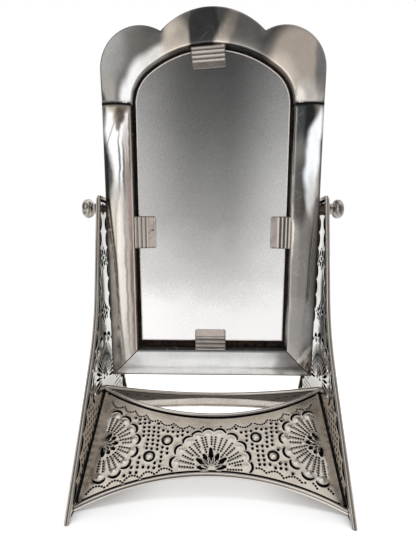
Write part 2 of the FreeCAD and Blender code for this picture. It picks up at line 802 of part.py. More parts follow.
def make_bolt(name, side):
    """Pivot bolt: its head inside the rail, its end inside the knob."""
    body = along_axis(name, side)
    seat = HALF_FRAME - size("frame_gauge")
    head_radius = size("bolt_head_diameter") / 2
    head = new_sketch(body, "YZ_Plane", f"{name}Head", seat - size("bolt_head_thickness"))
    draw_circle(head, CENTRE, head_radius)
    pad(body, head, size("bolt_head_thickness"))
    shank = new_sketch(body, "YZ_Plane", f"{name}Shank", seat)
    draw_circle(shank, CENTRE, BOLT_RADIUS)
    pad(body, shank, BOLT_END - seat)
    return body


def make_nut(name, side, start, length):
    """Six-sided nut with one corner up."""
    body = along_axis(name, side)
    corner = size("nut_flats") / math.sqrt(3)
    flat = size("nut_flats") / 2
    sketch = new_sketch(body, "YZ_Plane", f"{name}Hexagon", start)
    points = [
        (ZERO, corner),
        (-flat, corner / 2),
        (-flat, -corner / 2),
        (ZERO, -corner),
        (flat, -corner / 2),
        (flat, corner / 2),
    ]
    steps = [line(point) for point in points[1:]] + [line(points[0])]
    draw(sketch, points[0], steps)
    draw_circle(sketch, CENTRE, BOLT_HOLE_RADIUS)
    pad(body, sketch, length)
    return body


def make_knob(name, side):
    """Turned knob: a grooved collar and a flattened ball on a blind bore."""
    body = along_axis(name, side)
    start = KNOB_START
    ball = KNOB_BALL_START
    end = KNOB_END
    collar = size("collar_diameter") / 2
    groove = size("collar_groove")
    radius = size("knob_diameter") / 2
    nose = size("knob_nose") / 2
    widest = (ball + end) / 2
    groove_at = (start + ball) / 2
    bore = TURNING_BORE_RADIUS
    bore_end = BOLT_END + size("face_clearance")
    back_radius = level_arc_radius(widest - ball, radius - collar)
    front_radius = level_arc_radius(end - widest, radius - nose)
    points = [
        (start, bore),
        (start, collar),
        (groove_at - groove, collar),
        (groove_at, collar - groove),
        (groove_at + groove, collar),
        (ball, collar),
        (widest, radius),
        (end, nose),
        (end, ZERO),
        (bore_end, ZERO),
        (bore_end, bore),
    ]
    steps = [line(point) for point in points[1:]] + [line(points[0])]
    steps[5] = arc(points[6], back_radius, -1)
    steps[6] = arc(points[7], front_radius, -1)
    sketch = new_sketch(body, "XZ_Plane", f"{name}Profile")
    draw(sketch, points[0], steps)
    revolve(body, sketch, "PartDesign::Revolution", "H_Axis")
    return body


nodes = []
for side, word in ((-1, "left"), (1, "right")):
    nodes.append(make_side_panel(f"{word}_side_panel", side))
    nodes.append(make_panel_wire(f"{word}_panel_edge_wire", side))
for way, word in ((-1, "front"), (1, "rear")):
    nodes.append(make_apron(f"{word}_apron", way))
    nodes.append(make_apron_wire(f"{word}_apron_top_wire", way, "top"))
    nodes.append(make_apron_wire(f"{word}_apron_bottom_wire", way, "arch"))
    for side, hand in ((-1, "left"), (1, "right")):
        local_side = side if way < 0 else -side
        nodes.append(make_apron_solder(f"{word}_{hand}_solder_line", way, local_side))
for side, word in ((-1, "left"), (1, "right")):
    nodes.append(make_side_rail(f"{word}_rail", side))
    nodes.append(make_mitre_solder(f"{word}_mitre_solder", side))
    nodes.append(make_joint_solder(f"{word}_crest_solder", side))
nodes.append(make_bottom_rail("bottom_rail"))
nodes.append(make_crest("crest"))
nodes.append(make_back_cover("back_cover"))
nodes.append(make_arched_plate(
    "backing_board", size("board_gap"), size("board_gap") - OPENING_DROP, BOARD_FRONT,
    size("board_thickness"),
))
nodes.append(make_arched_plate(
    "mirror_glass", size("glass_inset"), size("glass_bottom_gap") - OPENING_DROP, GLASS_FRONT,
    size("glass_thickness"),
))

clip_level = -size("side_clip_drop")
nodes.append(make_clip(
    "left_clip", size("clip_reach"), clip_place(-OPENING_HALF_WIDTH, clip_level, "90")
))
nodes.append(make_clip(
    "right_clip", size("right_clip_reach"), clip_place(OPENING_HALF_WIDTH, clip_level, "-90")
))
nodes.append(make_clip(
    "bottom_clip", size("clip_reach"), clip_place(-size("bottom_clip_offset"), -OPENING_DROP, "0")
))
nodes.append(make_clip(
    "top_clip",
    size("top_clip_reach"),
    clip_place(-size("top_clip_offset"), ARCH_TOP - size("top_clip_drop"), "180 - Sizes.top_clip_turn"),
))

for side, word in ((-1, "left"), (1, "right")):
    nodes.append(make_bolt(f"{word}_pivot_bolt", side))
    nodes.append(make_ring(
        f"{word}_knob_washer", side, KNOB_WASHER_START, size("knob_washer_thickness"),
        size("knob_washer_diameter") / 2, TURNING_BORE_RADIUS,
    ))
    nodes.append(make_knob(f"{word}_knob", side))
spacer_room = PANEL_INSIDE - HALF_FRAME - size("face_clearance")
nodes.append(make_ring(
    "left_spacer_sleeve", -1, HALF_FRAME, spacer_room, BOLT_HOLE_RADIUS + size("spacer_wall"),
    BOLT_HOLE_RADIUS,
))
nodes.append(make_ring(
    "right_frame_washer", 1, HALF_FRAME, size("frame_washer_thickness"),
    size("frame_washer_diameter") / 2, BOLT_HOLE_RADIUS,
))
nodes.append(make_nut(
    "right_pivot_nut", 1, HALF_FRAME + size("frame_washer_thickness"),
    spacer_room - size("frame_washer_thickness"),
))

doc.recompute()
for item in doc.Objects:
    if "Invalid" in item.State or "Error" in item.State:
        raise RuntimeError(f"{item.Name} is {item.State}")
for node in nodes:
    if node.Shape.isNull() or not node.Shape.isValid():
        raise RuntimeError(f"{node.Label} has no valid shape")

os.makedirs("parts", exist_ok=True)
for node in nodes:
    node.Shape.exportStep(f"parts/{node.Label}.step")
    box = node.Shape.BoundBox
    print(
        f"{node.Label}: {len(node.Shape.Solids)} solid, {node.Shape.Volume:.0f} mm3, "
        f"x {box.XMin:.1f} {box.XMax:.1f}, y {box.YMin:.1f} {box.YMax:.1f}, "
        f"z {box.ZMin:.1f} {box.ZMax:.1f}"
    )
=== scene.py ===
import math
import random

import bmesh
import bpy
import numpy as np
from mathutils import Matrix, Vector, noise
from mathutils.geometry import delaunay_2d_cdt


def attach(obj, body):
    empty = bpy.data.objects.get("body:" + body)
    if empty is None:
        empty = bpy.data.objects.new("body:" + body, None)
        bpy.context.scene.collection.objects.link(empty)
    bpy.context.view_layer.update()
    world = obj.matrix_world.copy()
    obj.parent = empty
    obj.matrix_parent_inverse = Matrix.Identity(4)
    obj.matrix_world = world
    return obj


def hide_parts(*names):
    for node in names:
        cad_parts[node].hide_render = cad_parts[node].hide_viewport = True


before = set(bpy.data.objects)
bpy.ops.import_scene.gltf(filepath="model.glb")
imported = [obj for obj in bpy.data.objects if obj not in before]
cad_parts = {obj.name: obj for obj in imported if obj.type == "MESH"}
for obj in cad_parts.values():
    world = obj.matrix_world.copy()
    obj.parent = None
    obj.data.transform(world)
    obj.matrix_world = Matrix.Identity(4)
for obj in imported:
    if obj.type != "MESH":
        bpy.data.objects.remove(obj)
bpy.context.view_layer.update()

# Shapes are worked out in millimetres and stored in metres.
MM = 0.001

# Stand: sheets, rolled rims and the leaning aprons.
GAUGE = 0.8
RIM = 1.9
PANEL_X = 98.1
RIM_TOP = (13.1, 232.1)
RIM_TOP_CORNER = 4.0
WAIST = (28.2, 118.0)
WAIST_BEND = 124.9
FOOT = (106.8, 0.0)
APRON_HALF = 97.55
APRON_FOOT = (92.0, 2.4)
APRON_TOP = (2.4, 59.0)
TOP_DIP = 27.7
ARCH_CLIMB = 25.8

# Mirror: lengths from its own origin on the pivot axis.
PIVOT_Z = 223.0
LEAN = math.radians(5.7)
FRAME_HALF = 93.7
OPENING_HALF = 69.2
RAIL_WIDTH = 24.5
RAIL_CROWN = 3.4
FRAME_GAUGE = 0.6
FRAME_BACK = 7.0
FRAME_FRONT = -5.0
CREST_FACE = -6.5
FRAME_BOTTOM = -155.0
OPENING_BOTTOM = -130.5
JOINT_LOW = 86.2
JOINT_HIGH = 87.8
MITRE_SHIFT = 0.8 / math.sqrt(2)
ARCH_RISE = 47.0
ARCH_CORNER = 35.0
LOBE = (59.7, 114.0, 34.0)
CROWN = (0.0, 101.67, 60.0)
GLASS_FRONT = 0.8
GLASS_THICK = 3.0
GLASS_INSET = 3.2
GLASS_BOTTOM = -122.6

# Clips.
CLIP_GAUGE = 0.5
CLIP_WIDTH = 28.5
CLIP_FRONT = -4.4
CLIP_ROOT = 3.0
CLIP_START = 0.1
RIDGES = 3
RIDGE_SHARE = 0.56
FALL_SHARE = 0.3
RIDGE_HEIGHT = 0.55

# Pivots and knobs, along the axis from the middle.
BOLT_HOLE = 2.5
SLEEVE_RADIUS = 3.2
SPACER_END = 97.6
WASHER_END = 94.4
NUT_FLATS = 9.5
KNOB_START = 99.9
BALL_START = 106.0
KNOB_END = 115.4
COLLAR = 4.7
GROOVE = 0.6
BALL = 8.4
NOSE = 3.2
KNOB_BORE = 2.46
BORE_END = 111.1

MIRROR = Matrix.Translation((0, 0, PIVOT_Z)) @ Matrix.Rotation(LEAN, 4, "X")


# Meshes

def wave(x, y, seed, scale):
    """Smooth noise from about -1 to 1 with the given wavelength."""
    return noise.noise(Vector((x / scale, y / scale, seed)))


def evenly(low, high, count):
    """Numbers from low to high in equal steps."""
    return [low + (high - low) * number / count for number in range(count + 1)]


def add_object(name, data):
    thing = bpy.data.objects.new(name, data)
    bpy.context.scene.collection.objects.link(thing)
    return thing


def make_piece(name, points, faces, looks, nodes, body="mirror", wear_and_painted_light=None, smooth=35.0,
               face_looks=None):
    """Mesh object from millimetre points that stands for CAD nodes and rides on their body.

    The marks per point say how hollow, bright and stained the surface is: patina, polish and
    stains, and painted highlights and painted shade.
    """
    place = Matrix() if body == "stand" else MIRROR
    mesh = bpy.data.meshes.new(name)
    mesh.from_pydata([(place @ Vector(point)) * MM for point in points], [], faces)
    for look in looks:
        mesh.materials.append(look)
    if face_looks:
        mesh.polygons.foreach_set("material_index", face_looks)
    if wear_and_painted_light is not None:
        layer = mesh.attributes.new("wear_and_painted_light", "FLOAT_COLOR", "POINT")
        layer.data.foreach_set("color", [value for mark in wear_and_painted_light for value in (*mark, 1.0)])
    work = bmesh.new()
    work.from_mesh(mesh)
    bmesh.ops.recalc_face_normals(work, faces=work.faces)
    work.to_mesh(mesh)
    work.free()
    mesh.shade_smooth()
    mesh.set_sharp_from_angle(angle=math.radians(smooth))
    thing = add_object(name, mesh)
    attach(thing, body)
    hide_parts(*nodes)
    return thing


def arc_points(centre, radius, start, end, count):
    """Points on a circle from one angle to another, in degrees."""
    turns = [math.radians(angle) for angle in evenly(start, end, count)]
    return [(centre[0] + radius * math.cos(turn), centre[1] + radius * math.sin(turn))
            for turn in turns]


def circle(centre, radius, count):
    return arc_points(centre, radius, 0, 360, count)[:-1]


def mirrored(half):
    """A whole line from its right half, which ends on the middle line."""
    return half + [(-x, z) for x, z in half[-2::-1]]


def rounded(corners, radii, step):
    """Line through corners, each rounded to its radius, with a point about every step."""
    line = [Vector(corners[0])]
    for before, corner, after, radius in zip(corners, corners[1:], corners[2:], radii):
        into = (Vector(corner) - Vector(before)).normalized()
        out = (Vector(after) - Vector(corner)).normalized()
        bend = into.angle_signed(out)
        reach = radius * math.tan(abs(bend) / 2)
        start = Vector(corner) - into * reach
        side = -1 if bend > 0 else 1
        middle = start + Vector((-into.y, into.x)) * radius * side
        count = max(6, int(abs(bend) * radius / step))
        for number in range(count + 1):
            turn = -bend * number / count
            line.append(middle + Matrix.Rotation(turn, 2) @ (start - middle))
    line.append(Vector(corners[-1]))
    return dense(line, step)


def dense(line, step):
    """The line with more points on its long runs."""
    found = []
    for start, end in zip(line, line[1:]):
        start, end = Vector(start), Vector(end)
        pieces = max(1, int((end - start).length / step))
        found += [start.lerp(end, number / pieces) for number in range(pieces)]
    return found + [Vector(line[-1])]


def tangents(path):
    """Direction of a line at each of its points."""
    found = []
    for number in range(len(path)):
        low = max(number - 1, 0)
        high = min(number + 1, len(path) - 1)
        found.append((Vector(path[high]) - Vector(path[low])).normalized())
    return found


def ring_faces(rings, size, around=False):
    """Faces between rings of points, on round to the first ring or with a cap at each end."""
    faces = []
    for ring in range(rings if around else rings - 1):
        first = ring * size
        second = (ring + 1) % rings * size
        for corner in range(size):
            after = (corner + 1) % size
            faces.append((first + corner, first + after, second + after, second + corner))
    if not around:
        faces += [tuple(range(size))[::-1], tuple(range((rings - 1) * size, rings * size))]
    return faces


def open_edges(faces):
    """Edges that belong to one face only, in that face's direction."""
    uses = {pair: True for face in faces for pair in zip(face, face[1:] + face[:1])}
    return [(start, end) for start, end in uses if (end, start) not in uses]


def sweep(path, section, axis, low, high):
    """Flat line with a closed section of (to its left, out of the plane) points.

    The line's two ends are cut at low and high along the axis.
    """
    points = []
    for number, (spot, way) in enumerate(zip(path, tangents(path))):
        left = Vector((-way.y, way.x))
        for across, out in section:
            place = Vector(spot) + left * across
            if number in (0, len(path) - 1):
                target = high if number else low
                place = place + way * ((target - place[axis]) / way[axis])
            points.append((place.x, place.y, out))
    return points, ring_faces(len(path), len(section))


def lathe(profile, sides):
    """Turned shape about X from a closed profile of (along, radius) points."""
    points = []
    for along, radius in profile:
        points += [(along, y, z) for y, z in circle((0, 0), radius, sides)]
    return points, ring_faces(len(profile), sides, around=True)


# Punched sheets

# Marks of a pit (dark patina), of its lip (polish wear and a painted highlight) and of the plain
# sheet, and of the dark seam beside a rolled edge.
PIT = (1, 0, 0)
LIP = (0, 1, 0)
PLAIN = (0, 0, 0)
LIP_FOOT = (0, 0.2, 0)
SEAM = (1, 0, 0.3)
SEAM_DEPTH = 0.08
CELL = 8


class PunchedSheet:
    """Sheet in its own plane, whose triangles keep the loops of its punch marks."""

    def __init__(self, outline, seed, lip=0.12, edge_wear=(1, 0, 0.4)):
        self.seed = seed
        self.lip = lip
        self.spots, self.lift, self.wear_and_painted_light, self.edges = [], [], [], []
        self.domes, self.plain = [], []
        self.cells = {}
        self.rim = self.add_line(outline, 0.0, edge_wear, closed=True)

    def add_point(self, spot, lift, wear_and_painted_light):
        self.spots.append(Vector(spot))
        self.lift.append(lift)
        self.wear_and_painted_light.append(wear_and_painted_light)
        return len(self.spots) - 1

    def add_line(self, line, lift, wear_and_painted_light, closed=False):
        numbers = [self.add_point(spot, lift, wear_and_painted_light) for spot in line]
        self.edges += list(zip(numbers, numbers[1:]))
        if closed:
            self.edges.append((numbers[-1], numbers[0]))
        return numbers

    def take(self, spot, reach):
        """Notes a circle as taken."""
        self.cells.setdefault((spot[0] // CELL, spot[1] // CELL), []).append((spot, reach))

    def claim(self, spot, reach):
        """Takes a circle, or tells that it runs into one that is taken."""
        for across in (-1, 0, 1):
            for up in (-1, 0, 1):
                cell = (spot[0] // CELL + across, spot[1] // CELL + up)
                for other, far in self.cells.get(cell, []):
                    if math.hypot(other[0] - spot[0], other[1] - spot[1]) < reach + far:
                        return False
        self.take(spot, reach)
        return True

    def dot(self, spot, radius, depth, tall=1.0, sides=8, rim=1.0):
        """Round punch mark: a raised lip round a dark pit; the lip's pale tone is polish wear and a
        painted highlight.
        """
        if not self.claim(spot, radius + 0.14 * rim):
            return
        for size, lift, wear_and_painted_light in ((radius + 0.3 * rim, 0.0, LIP_FOOT),
                                 (radius + 0.16 * rim, self.lip, LIP),
                                 (radius + 0.08 * rim, self.lip, LIP),
                                 (radius - 0.02, -depth, PIT)):
            ring = [(spot[0] + x, spot[1] + tall * y) for x, y in circle((0, 0), size, sides)]
            self.add_line(ring, lift, wear_and_painted_light, closed=True)
        self.add_point(spot, -depth * 1.2, PIT)

    def stroke(self, spine, widths, depth):
        """Long punch mark along a line, with its half width at each point."""
        ways = tangents(spine)
        for extra, lift, wear_and_painted_light in ((0.5, 0.0, LIP_FOOT), (0.3, self.lip, LIP),
                                  (0.1, self.lip * 1.3, LIP), (0.0, -depth, PIT)):
            left, right = [], []
            for spot, way, width in zip(spine, ways, widths):
                side = Vector((-way.y, way.x)) * max(width + extra, 0.06)
                left.append(Vector(spot) + side)
                right.append(Vector(spot) - side)
            nose = Vector(spine[-1]) + ways[-1] * (0.35 + extra)
            tail = Vector(spine[0]) - ways[0] * (0.35 + extra)
            self.add_line(left + [nose] + right[::-1] + [tail], lift, wear_and_painted_light, closed=True)
        for spot in spine[1:-1]:
            self.add_point(spot, -depth * 1.25, PIT)
        for spot, width in zip(spine, widths):
            self.take(spot, width + 0.35)

    def ring(self, spot, radius):
        """Ring punch: a dark trough round a raised boss, whose pale tone rising to its top is a
        painted highlight.
        """
        self.claim(spot, radius * 1.32)
        rows = ((1.36, 0.0, (0, 0.4, 0)), (1.28, 0.12, LIP), (1.2, -0.4, PIT), (1.0, -0.5, PIT),
                (0.82, -0.35, PIT), (0.74, 0.12, (0.1, 0.6, 0)), (0.5, 0.5, (0, 0.3, 0)),
                (0.24, 0.72, (0, 0.7, 0)))
        for share, lift, wear_and_painted_light in rows:
            self.add_line(circle(spot, radius * share, 20), lift, wear_and_painted_light, closed=True)
        self.add_point(spot, 0.78, (0, 0.9, 0))

    def dome(self, spot, radius, height):
        """Raised lobe that lifts whatever lies on it, painted paler towards its top: a painted
        highlight.
        """
        self.domes.append((spot, radius, height))
        for share in (0.3, 0.6, 0.85):
            start = share * 50
            for place in arc_points(spot, radius * share, start, start + 360, 8)[:-1]:
                self.free(place, 0.2, wear_and_painted_light=(0, 0.95 - 0.7 * share, 0))
        self.free(spot, 0.2, wear_and_painted_light=LIP)

    def free(self, spot, reach, lift=0.0, wear_and_painted_light=PLAIN):
        """Plain point of the surface, kept where nothing turns out to be punched."""
        self.plain.append((spot, reach, lift, wear_and_painted_light))

    def surface(self, spot):
        """Height of the unpunched sheet: a slight waviness and the raised lobes."""
        height = 0.28 * wave(spot[0], spot[1], self.seed, 26.0)
        for centre, radius, rise in self.domes:
            far = math.hypot(spot[0] - centre[0], spot[1] - centre[1]) / radius
            if far < 1:
                height += rise * (1 - far * far) ** 2
        return height

    def triangles(self):
        """Points, how far each is lifted, its wear, and the faces of the triangulated sheet."""
        for spot, reach, lift, wear_and_painted_light in self.plain:
            if self.claim(spot, reach):
                self.add_point(spot, lift, wear_and_painted_light)
        spots, _, faces, sources, *_ = delaunay_2d_cdt(self.spots, self.edges, [self.rim], 1, 1e-5)
        lifts = [self.lift[source[0]] if source else 0.0 for source in sources]
        wears = [self.wear_and_painted_light[source[0]] if source else (0.3, 0.3, 0) for source in sources]
        return spots, lifts, wears, faces


CRESCENT = 5.3
CRESCENT_TURN = 64
RAY_GAP = 4.4


def fan(sheet, hub, angles, radii, palm, rays_from=math.inf, bold=1.0, depth=0.45):
    """Shell of crescents with dotted rays and a palm of dark strokes at its hub."""
    def at(angle, far):
        turn = math.radians(angle)
        return (hub[0] + far * math.cos(turn), hub[1] + far * math.sin(turn))

    for angle, length, width, start in palm:
        shares = evenly(0, 1, 6)
        sheet.stroke([at(angle, start + length * share) for share in shares],
                     [width * (0.35 + 0.65 * math.sin(math.pi * (0.15 + 0.8 * share)))
                      for share in shares], depth)
    for angle, radius in zip(angles, radii):
        spine = arc_points(at(angle, radius - CRESCENT * 0.55), CRESCENT, angle - CRESCENT_TURN,
                           angle + CRESCENT_TURN, 14)
        sheet.stroke(spine, [bold * (0.34 + 0.72 * math.sin(math.pi * number / 14) ** 0.5)
                             for number in range(15)], depth)
        sheet.dome(at(angle, radius - 2.6), 3.4, 0.8)
    quarter = abs(angles[1] - angles[0]) / 4
    for angle, radius in zip(angles, radii):
        for side in (-1, 1):
            turn = angle + side * quarter
            far = rays_from
            while far < radius - RAY_GAP:
                sheet.dot(at(turn, far), 0.92, depth * 0.8, rim=0.6)
                far += 2.1
            # Raised ribs between the rays, painted pale: a painted highlight.
            far = rays_from + 1.2
            while far < radius - RAY_GAP:
                sheet.free(at(turn + quarter, far), 0.12, lift=0.28, wear_and_painted_light=(0, 0.45, 0))
                far += 1.7


DOT_DEPTH = 0.42
SCALLOP_SAG = 3.6
SCALLOP_PITCH = 2.14
FINE = 600


def scallops(sheet, cusps, sag):
    """Dotted line of arcs between cusps; a positive sag bulges to the line's right."""
    for start, end in zip(cusps, cusps[1:]):
        run = Vector(end) - Vector(start)
        across = Vector((run.y, -run.x)).normalized()
        walked = 0.0
        last = None
        for number in range(FINE + 1):
            share = number / FINE
            spot = Vector(start) + run * share + across * sag * 4 * share * (1 - share)
            walked += (spot - last).length if last else SCALLOP_PITCH
            last = spot
            if walked >= SCALLOP_PITCH:
                walked -= SCALLOP_PITCH
                sheet.dot((spot.x, spot.y), 0.95, DOT_DEPTH, rim=0.4)


def scatter(sheet, outline, pitch, inside):
    """Plain points over the rest of a sheet, so that it can undulate."""
    xs, ys = zip(*outline)
    left, right, top = min(xs), max(xs), max(ys)
    row = 0
    y = min(ys)
    while y < top:
        x = left + (pitch / 2 if row % 2 else 0)
        while x < right:
            if inside(x, y):
                sheet.free((x, y), 0.7)
            x += pitch
        y += pitch * 0.87
        row += 1


def close_sheet(name, sheet, place, look, nodes, through=0.7, painted_shade_band=None):
    """Both faces of a punched sheet and the strip round its edge, as one closed mesh."""
    spots, lifts, wears, faces = sheet.triangles()
    count = len(spots)
    front, back, front_wear, back_wear = [], [], [], []
    for spot, lift, wear_and_painted_light in zip(spots, lifts, wears):
        level = sheet.surface(spot)
        front.append(place(*spot, GAUGE / 2 + level + lift))
        back.append(place(*spot, -GAUGE / 2 + level + lift * through))
        front_wear.append(wear_and_painted_light)
        # Painted shade on the back face where a shading band is given (the rear apron's inner
        # face).
        dim = painted_shade_band(*spot) if painted_shade_band else 0.0
        back_wear.append((wear_and_painted_light[1] * 0.6 * through + 0.34 * dim, wear_and_painted_light[0] * 0.7 * through, dim))
    under = [tuple(number + count for number in face[::-1]) for face in faces]
    strip = [(end, start, start + count, end + count) for start, end in open_edges(faces)]
    make_piece(name, front + back, faces + under + strip, [look], nodes, "stand",
               wear_and_painted_light=front_wear + back_wear, smooth=50.0)


# Materials

MIX_FACTOR, MIX_A, MIX_B, MIX_RESULT = 0, 6, 7, 2


class Signal:
    """Output of a node, whose sums and products are nodes too."""

    def __init__(self, tree, socket):
        self.tree = tree
        self.socket = socket

    def __add__(self, other):
        return self.tree.maths("ADD", self, other)

    def __sub__(self, other):
        return self.tree.maths("SUBTRACT", self, other)

    def __rsub__(self, other):
        return self.tree.maths("SUBTRACT", other, self)

    def __mul__(self, other):
        return self.tree.maths("MULTIPLY", self, other)

    def __truediv__(self, other):
        return self.tree.maths("DIVIDE", self, other)

    def span(self, low, high, bottom=0.0, top=1.0, kind="LINEAR"):
        """Its place between low and high, as a number from bottom to top."""
        return self.tree.add("MapRange", {"Value": self, "From Min": low, "From Max": high,
                                          "To Min": bottom, "To Max": top},
                             interpolation_type=kind)

    def step(self, low, high):
        """Smooth rise from 0 to 1 between low and high."""
        return self.span(low, high, kind="SMOOTHSTEP")


class Tree:
    """Node tree of a material or a world, with its coordinates."""

    def __init__(self, owner, coordinates="Object"):
        owner.use_nodes = True
        self.owner = owner
        self.nodes = owner.node_tree.nodes
        self.links = owner.node_tree.links
        self.nodes.clear()
        self.place = self.add("TexCoord", out=coordinates)

    def add(self, kind, inputs=None, out=0, **settings):
        """Output of a new node with settings, and inputs that are values or signals."""
        node = self.nodes.new("ShaderNode" + kind)
        for key, value in settings.items():
            setattr(node, key, value)
        for key, value in (inputs or {}).items():
            socket = node.inputs[key]
            if isinstance(value, Signal):
                self.links.new(value.socket, socket)
            else:
                socket.default_value = (*value, 1.0) if socket.type == "RGBA" else value
        return Signal(self, node.outputs[out])

    def maths(self, operation, first, second=0.0, clamp=False):
        return self.add("Math", {0: first, 1: second}, operation=operation, use_clamp=clamp)

    def rest(self, value):
        """One minus the value, not below zero."""
        return self.maths("SUBTRACT", 1.0, value, clamp=True)

    def parts(self, kind, signal):
        """The three signals that a vector or a colour is made of."""
        node = self.add(kind, {0: signal}).socket.node
        return [Signal(self, socket) for socket in node.outputs]

    def wear_and_painted_light(self):
        """How hollow, bright and stained the surface is marked: patina, polish and stains, and
        painted highlights and painted shade.
        """
        wear_and_painted_light = self.add("Attribute", out="Color", attribute_name="wear_and_painted_light")
        return self.parts("SeparateColor", wear_and_painted_light)

    def blend(self, share, first, second, kind="MIX"):
        """Colour between two others."""
        return self.add("Mix", {MIX_FACTOR: share, MIX_A: first, MIX_B: second}, MIX_RESULT,
                        data_type="RGBA", blend_type=kind)

    def layered(self, colour, *layers):
        """Colour under tones, each laid over it by its share."""
        for share, tone in layers:
            colour = self.blend(share, colour, tone)
        return colour

    def shaded(self, colour, shade):
        """Colour times a number."""
        grey = self.add("CombineColor", {0: shade, 1: shade, 2: shade})
        return self.blend(1.0, colour, grey, "MULTIPLY")

    def grain(self, scale, detail=3.0, roughness=0.55, place=None):
        return self.add("TexNoise", {"Vector": place or self.place, "Scale": scale,
                                     "Detail": detail, "Roughness": roughness})

    def streaks(self, factors, detail, roughness, place=None):
        """Noise that is drawn out unevenly along the three axes."""
        drawn = self.add("Mapping", {"Vector": place or self.place, "Scale": factors})
        return self.grain(1.0, detail, roughness, drawn)

    def shader(self, bump=None, **values):
        """Principled shader; bump is (height, strength, distance)."""
        inputs = {key.replace("_", " "): value for key, value in values.items()}
        if bump:
            inputs["Normal"] = self.add("Bump", dict(zip(("Height", "Strength", "Distance"), bump)))
        return self.add("BsdfPrincipled", inputs)

    def finish(self, signal, kind="Material"):
        """Connects the output, and gives back the material or the world."""
        self.links.new(signal.socket, self.nodes.new("ShaderNodeOutput" + kind).inputs[0])
        return self.owner

    def coat(self, bump=None, **values):
        """The material, with nothing but a principled shader."""
        return self.finish(self.shader(bump, **values))


def new_look(name):
    return Tree(bpy.data.materials.new(name))


def patch(tree, place, centre, reach, turn, soft):
    """Soft oval mask in the XZ plane, in millimetres."""
    inner = tree.add("Mapping", {"Vector": place,
                                 "Location": (centre[0] * MM, 0, centre[1] * MM),
                                 "Rotation": (0, math.radians(turn), 0),
                                 "Scale": (reach[0] * MM, 1000.0, reach[1] * MM)},
                     vector_type="TEXTURE")
    far = tree.add("VectorMath", {0: inner}, "Value", operation="LENGTH")
    return 1.0 - far.step(1 - soft, 1 + soft)


def hairlines(tree):
    """Mask of fine scratches that run three ways over a face in the XZ plane."""
    total = 0.0
    for turn, seed in ((18, 1.7), (74, 5.1), (132, 9.4)):
        turned = tree.add("Mapping", {"Vector": tree.place, "Location": (seed, 0, seed),
                                      "Rotation": (0, math.radians(turn), 0)})
        line = tree.streaks((1500.0, 60.0, 34.0), 2.0, 0.5, turned)
        total = line.step(0.67, 0.74) + total
    return tree.maths("MINIMUM", total, 1.0)


def punched_tin(name, dull_tone, clean_tone, polish, grime_share, foot_painted_reflection_share=0.0):
    """Aged tin: dark patina in the punch marks, lips pale from polish and a painted highlight,
    brown in the seams, painted shade on rolled edges, and a painted reflection near the feet.
    """
    look = new_look(name)
    hollow, lip, stain = look.wear_and_painted_light()
    clouds = look.grain(30.0)
    spots = look.grain(520.0, 4.0, 0.65).span(0.45, 0.75, 0.0, 0.25)
    darkening = look.grain(17.0, 5.0, 0.6).step(0.54, 0.72)
    # Painted reflection of the aprons: the tin turns dark brown towards the feet, by the foot
    # share.
    foot = 1.0 - look.parts("SeparateXYZ", look.place)[2].step(0.035, 0.105)
    dark = hollow.step(0.15, 0.55)
    # Stain holds real seam stains and, on rolled edges, painted shade; the pale lip tone is polish
    # wear and a painted highlight.
    colour = look.layered(
        dull_tone, (clouds.span(0.34, 0.66), clean_tone), (spots, (0.72, 0.69, 0.64)),
        (darkening * grime_share, (0.16, 0.125, 0.095)), (foot * foot_painted_reflection_share, (0.34, 0.285, 0.235)),
        (stain * 0.9, (0.10, 0.062, 0.04)), (lip * 0.85, (0.97, 0.95, 0.92)),
        (dark, (0.004, 0.003, 0.0025)))
    rough = clouds.span(0.3, 0.7, polish * 0.8, polish * 1.3) + dark * 0.5
    height = look.streaks((60.0, 900.0, 900.0), 3.0, 0.55) * 0.25 + clouds
    return look.coat((height, 0.2, 0.0005), Base_Color=colour, Metallic=1.0 - dark,
                     Roughness=rough, Specular_IOR_Level=0.0)


def frame_tin_with_painted_light(name, base, patches, roughness=0.16):
    """Polished tin with soft patches of painted reflection: painted highlights and painted dark
    reflections.

    Each patch is (x, z, half width, half height, turn, softness, share, tone, haze); haze mattes
    the metal so that a painted highlight shows white.
    """
    look = new_look(name)
    drift = look.add("TexNoise", {"Vector": look.place, "Scale": 24.0, "Detail": 3.0}, "Color")
    moved = look.add("VectorMath", {0: drift, 1: (0.5, 0.5, 0.5)}, operation="SUBTRACT")
    moved = look.add("VectorMath", {0: moved, "Scale": 0.012}, operation="SCALE")
    drifting = look.add("VectorMath", {0: look.place, 1: moved}, operation="ADD")
    colour = base
    haze = 0.0
    # Painted reflections: each patch lays its tone over the colour, and its haze makes the metal
    # matt there.
    for x, z, wide, tall, turn, soft, share, tone, hazy in patches:
        mask = patch(look, drifting, (x, z), (wide, tall), turn, soft) * share
        colour = look.blend(mask, colour, tone)
        haze = mask.span(0.0, 1.0, haze, hazy)
    hollow, lip, stain = look.wear_and_painted_light()
    # Stain and hollow mark the dark joints and paint shade on outer corners, creases, walls and
    # clip valleys; the pale lip tone is a painted highlight.
    colour = look.layered(colour, (stain, (0.085, 0.06, 0.045)), (lip * 0.8, (0.95, 0.91, 0.87)),
                          (hollow, (0.006, 0.005, 0.004)))
    fine = look.streaks((700.0, 700.0, 260.0), 4.0, 0.6)
    mottle = look.grain(55.0, 5.0, 0.6)
    shade = fine.span(0.3, 0.7, 0.94, 1.04) + mottle.span(0.3, 0.7, -0.06, 0.06)
    colour = look.blend(hairlines(look) * 0.22, look.shaded(colour, shade), (0.80, 0.77, 0.73))
    return look.coat((fine * 0.3 + mottle, 0.1, 0.0005), Base_Color=colour,
                     Metallic=look.rest(hollow) * look.rest(haze), Specular_IOR_Level=0.0,
                     Roughness=mottle.span(0.3, 0.7, roughness * 0.8, roughness * 1.3))


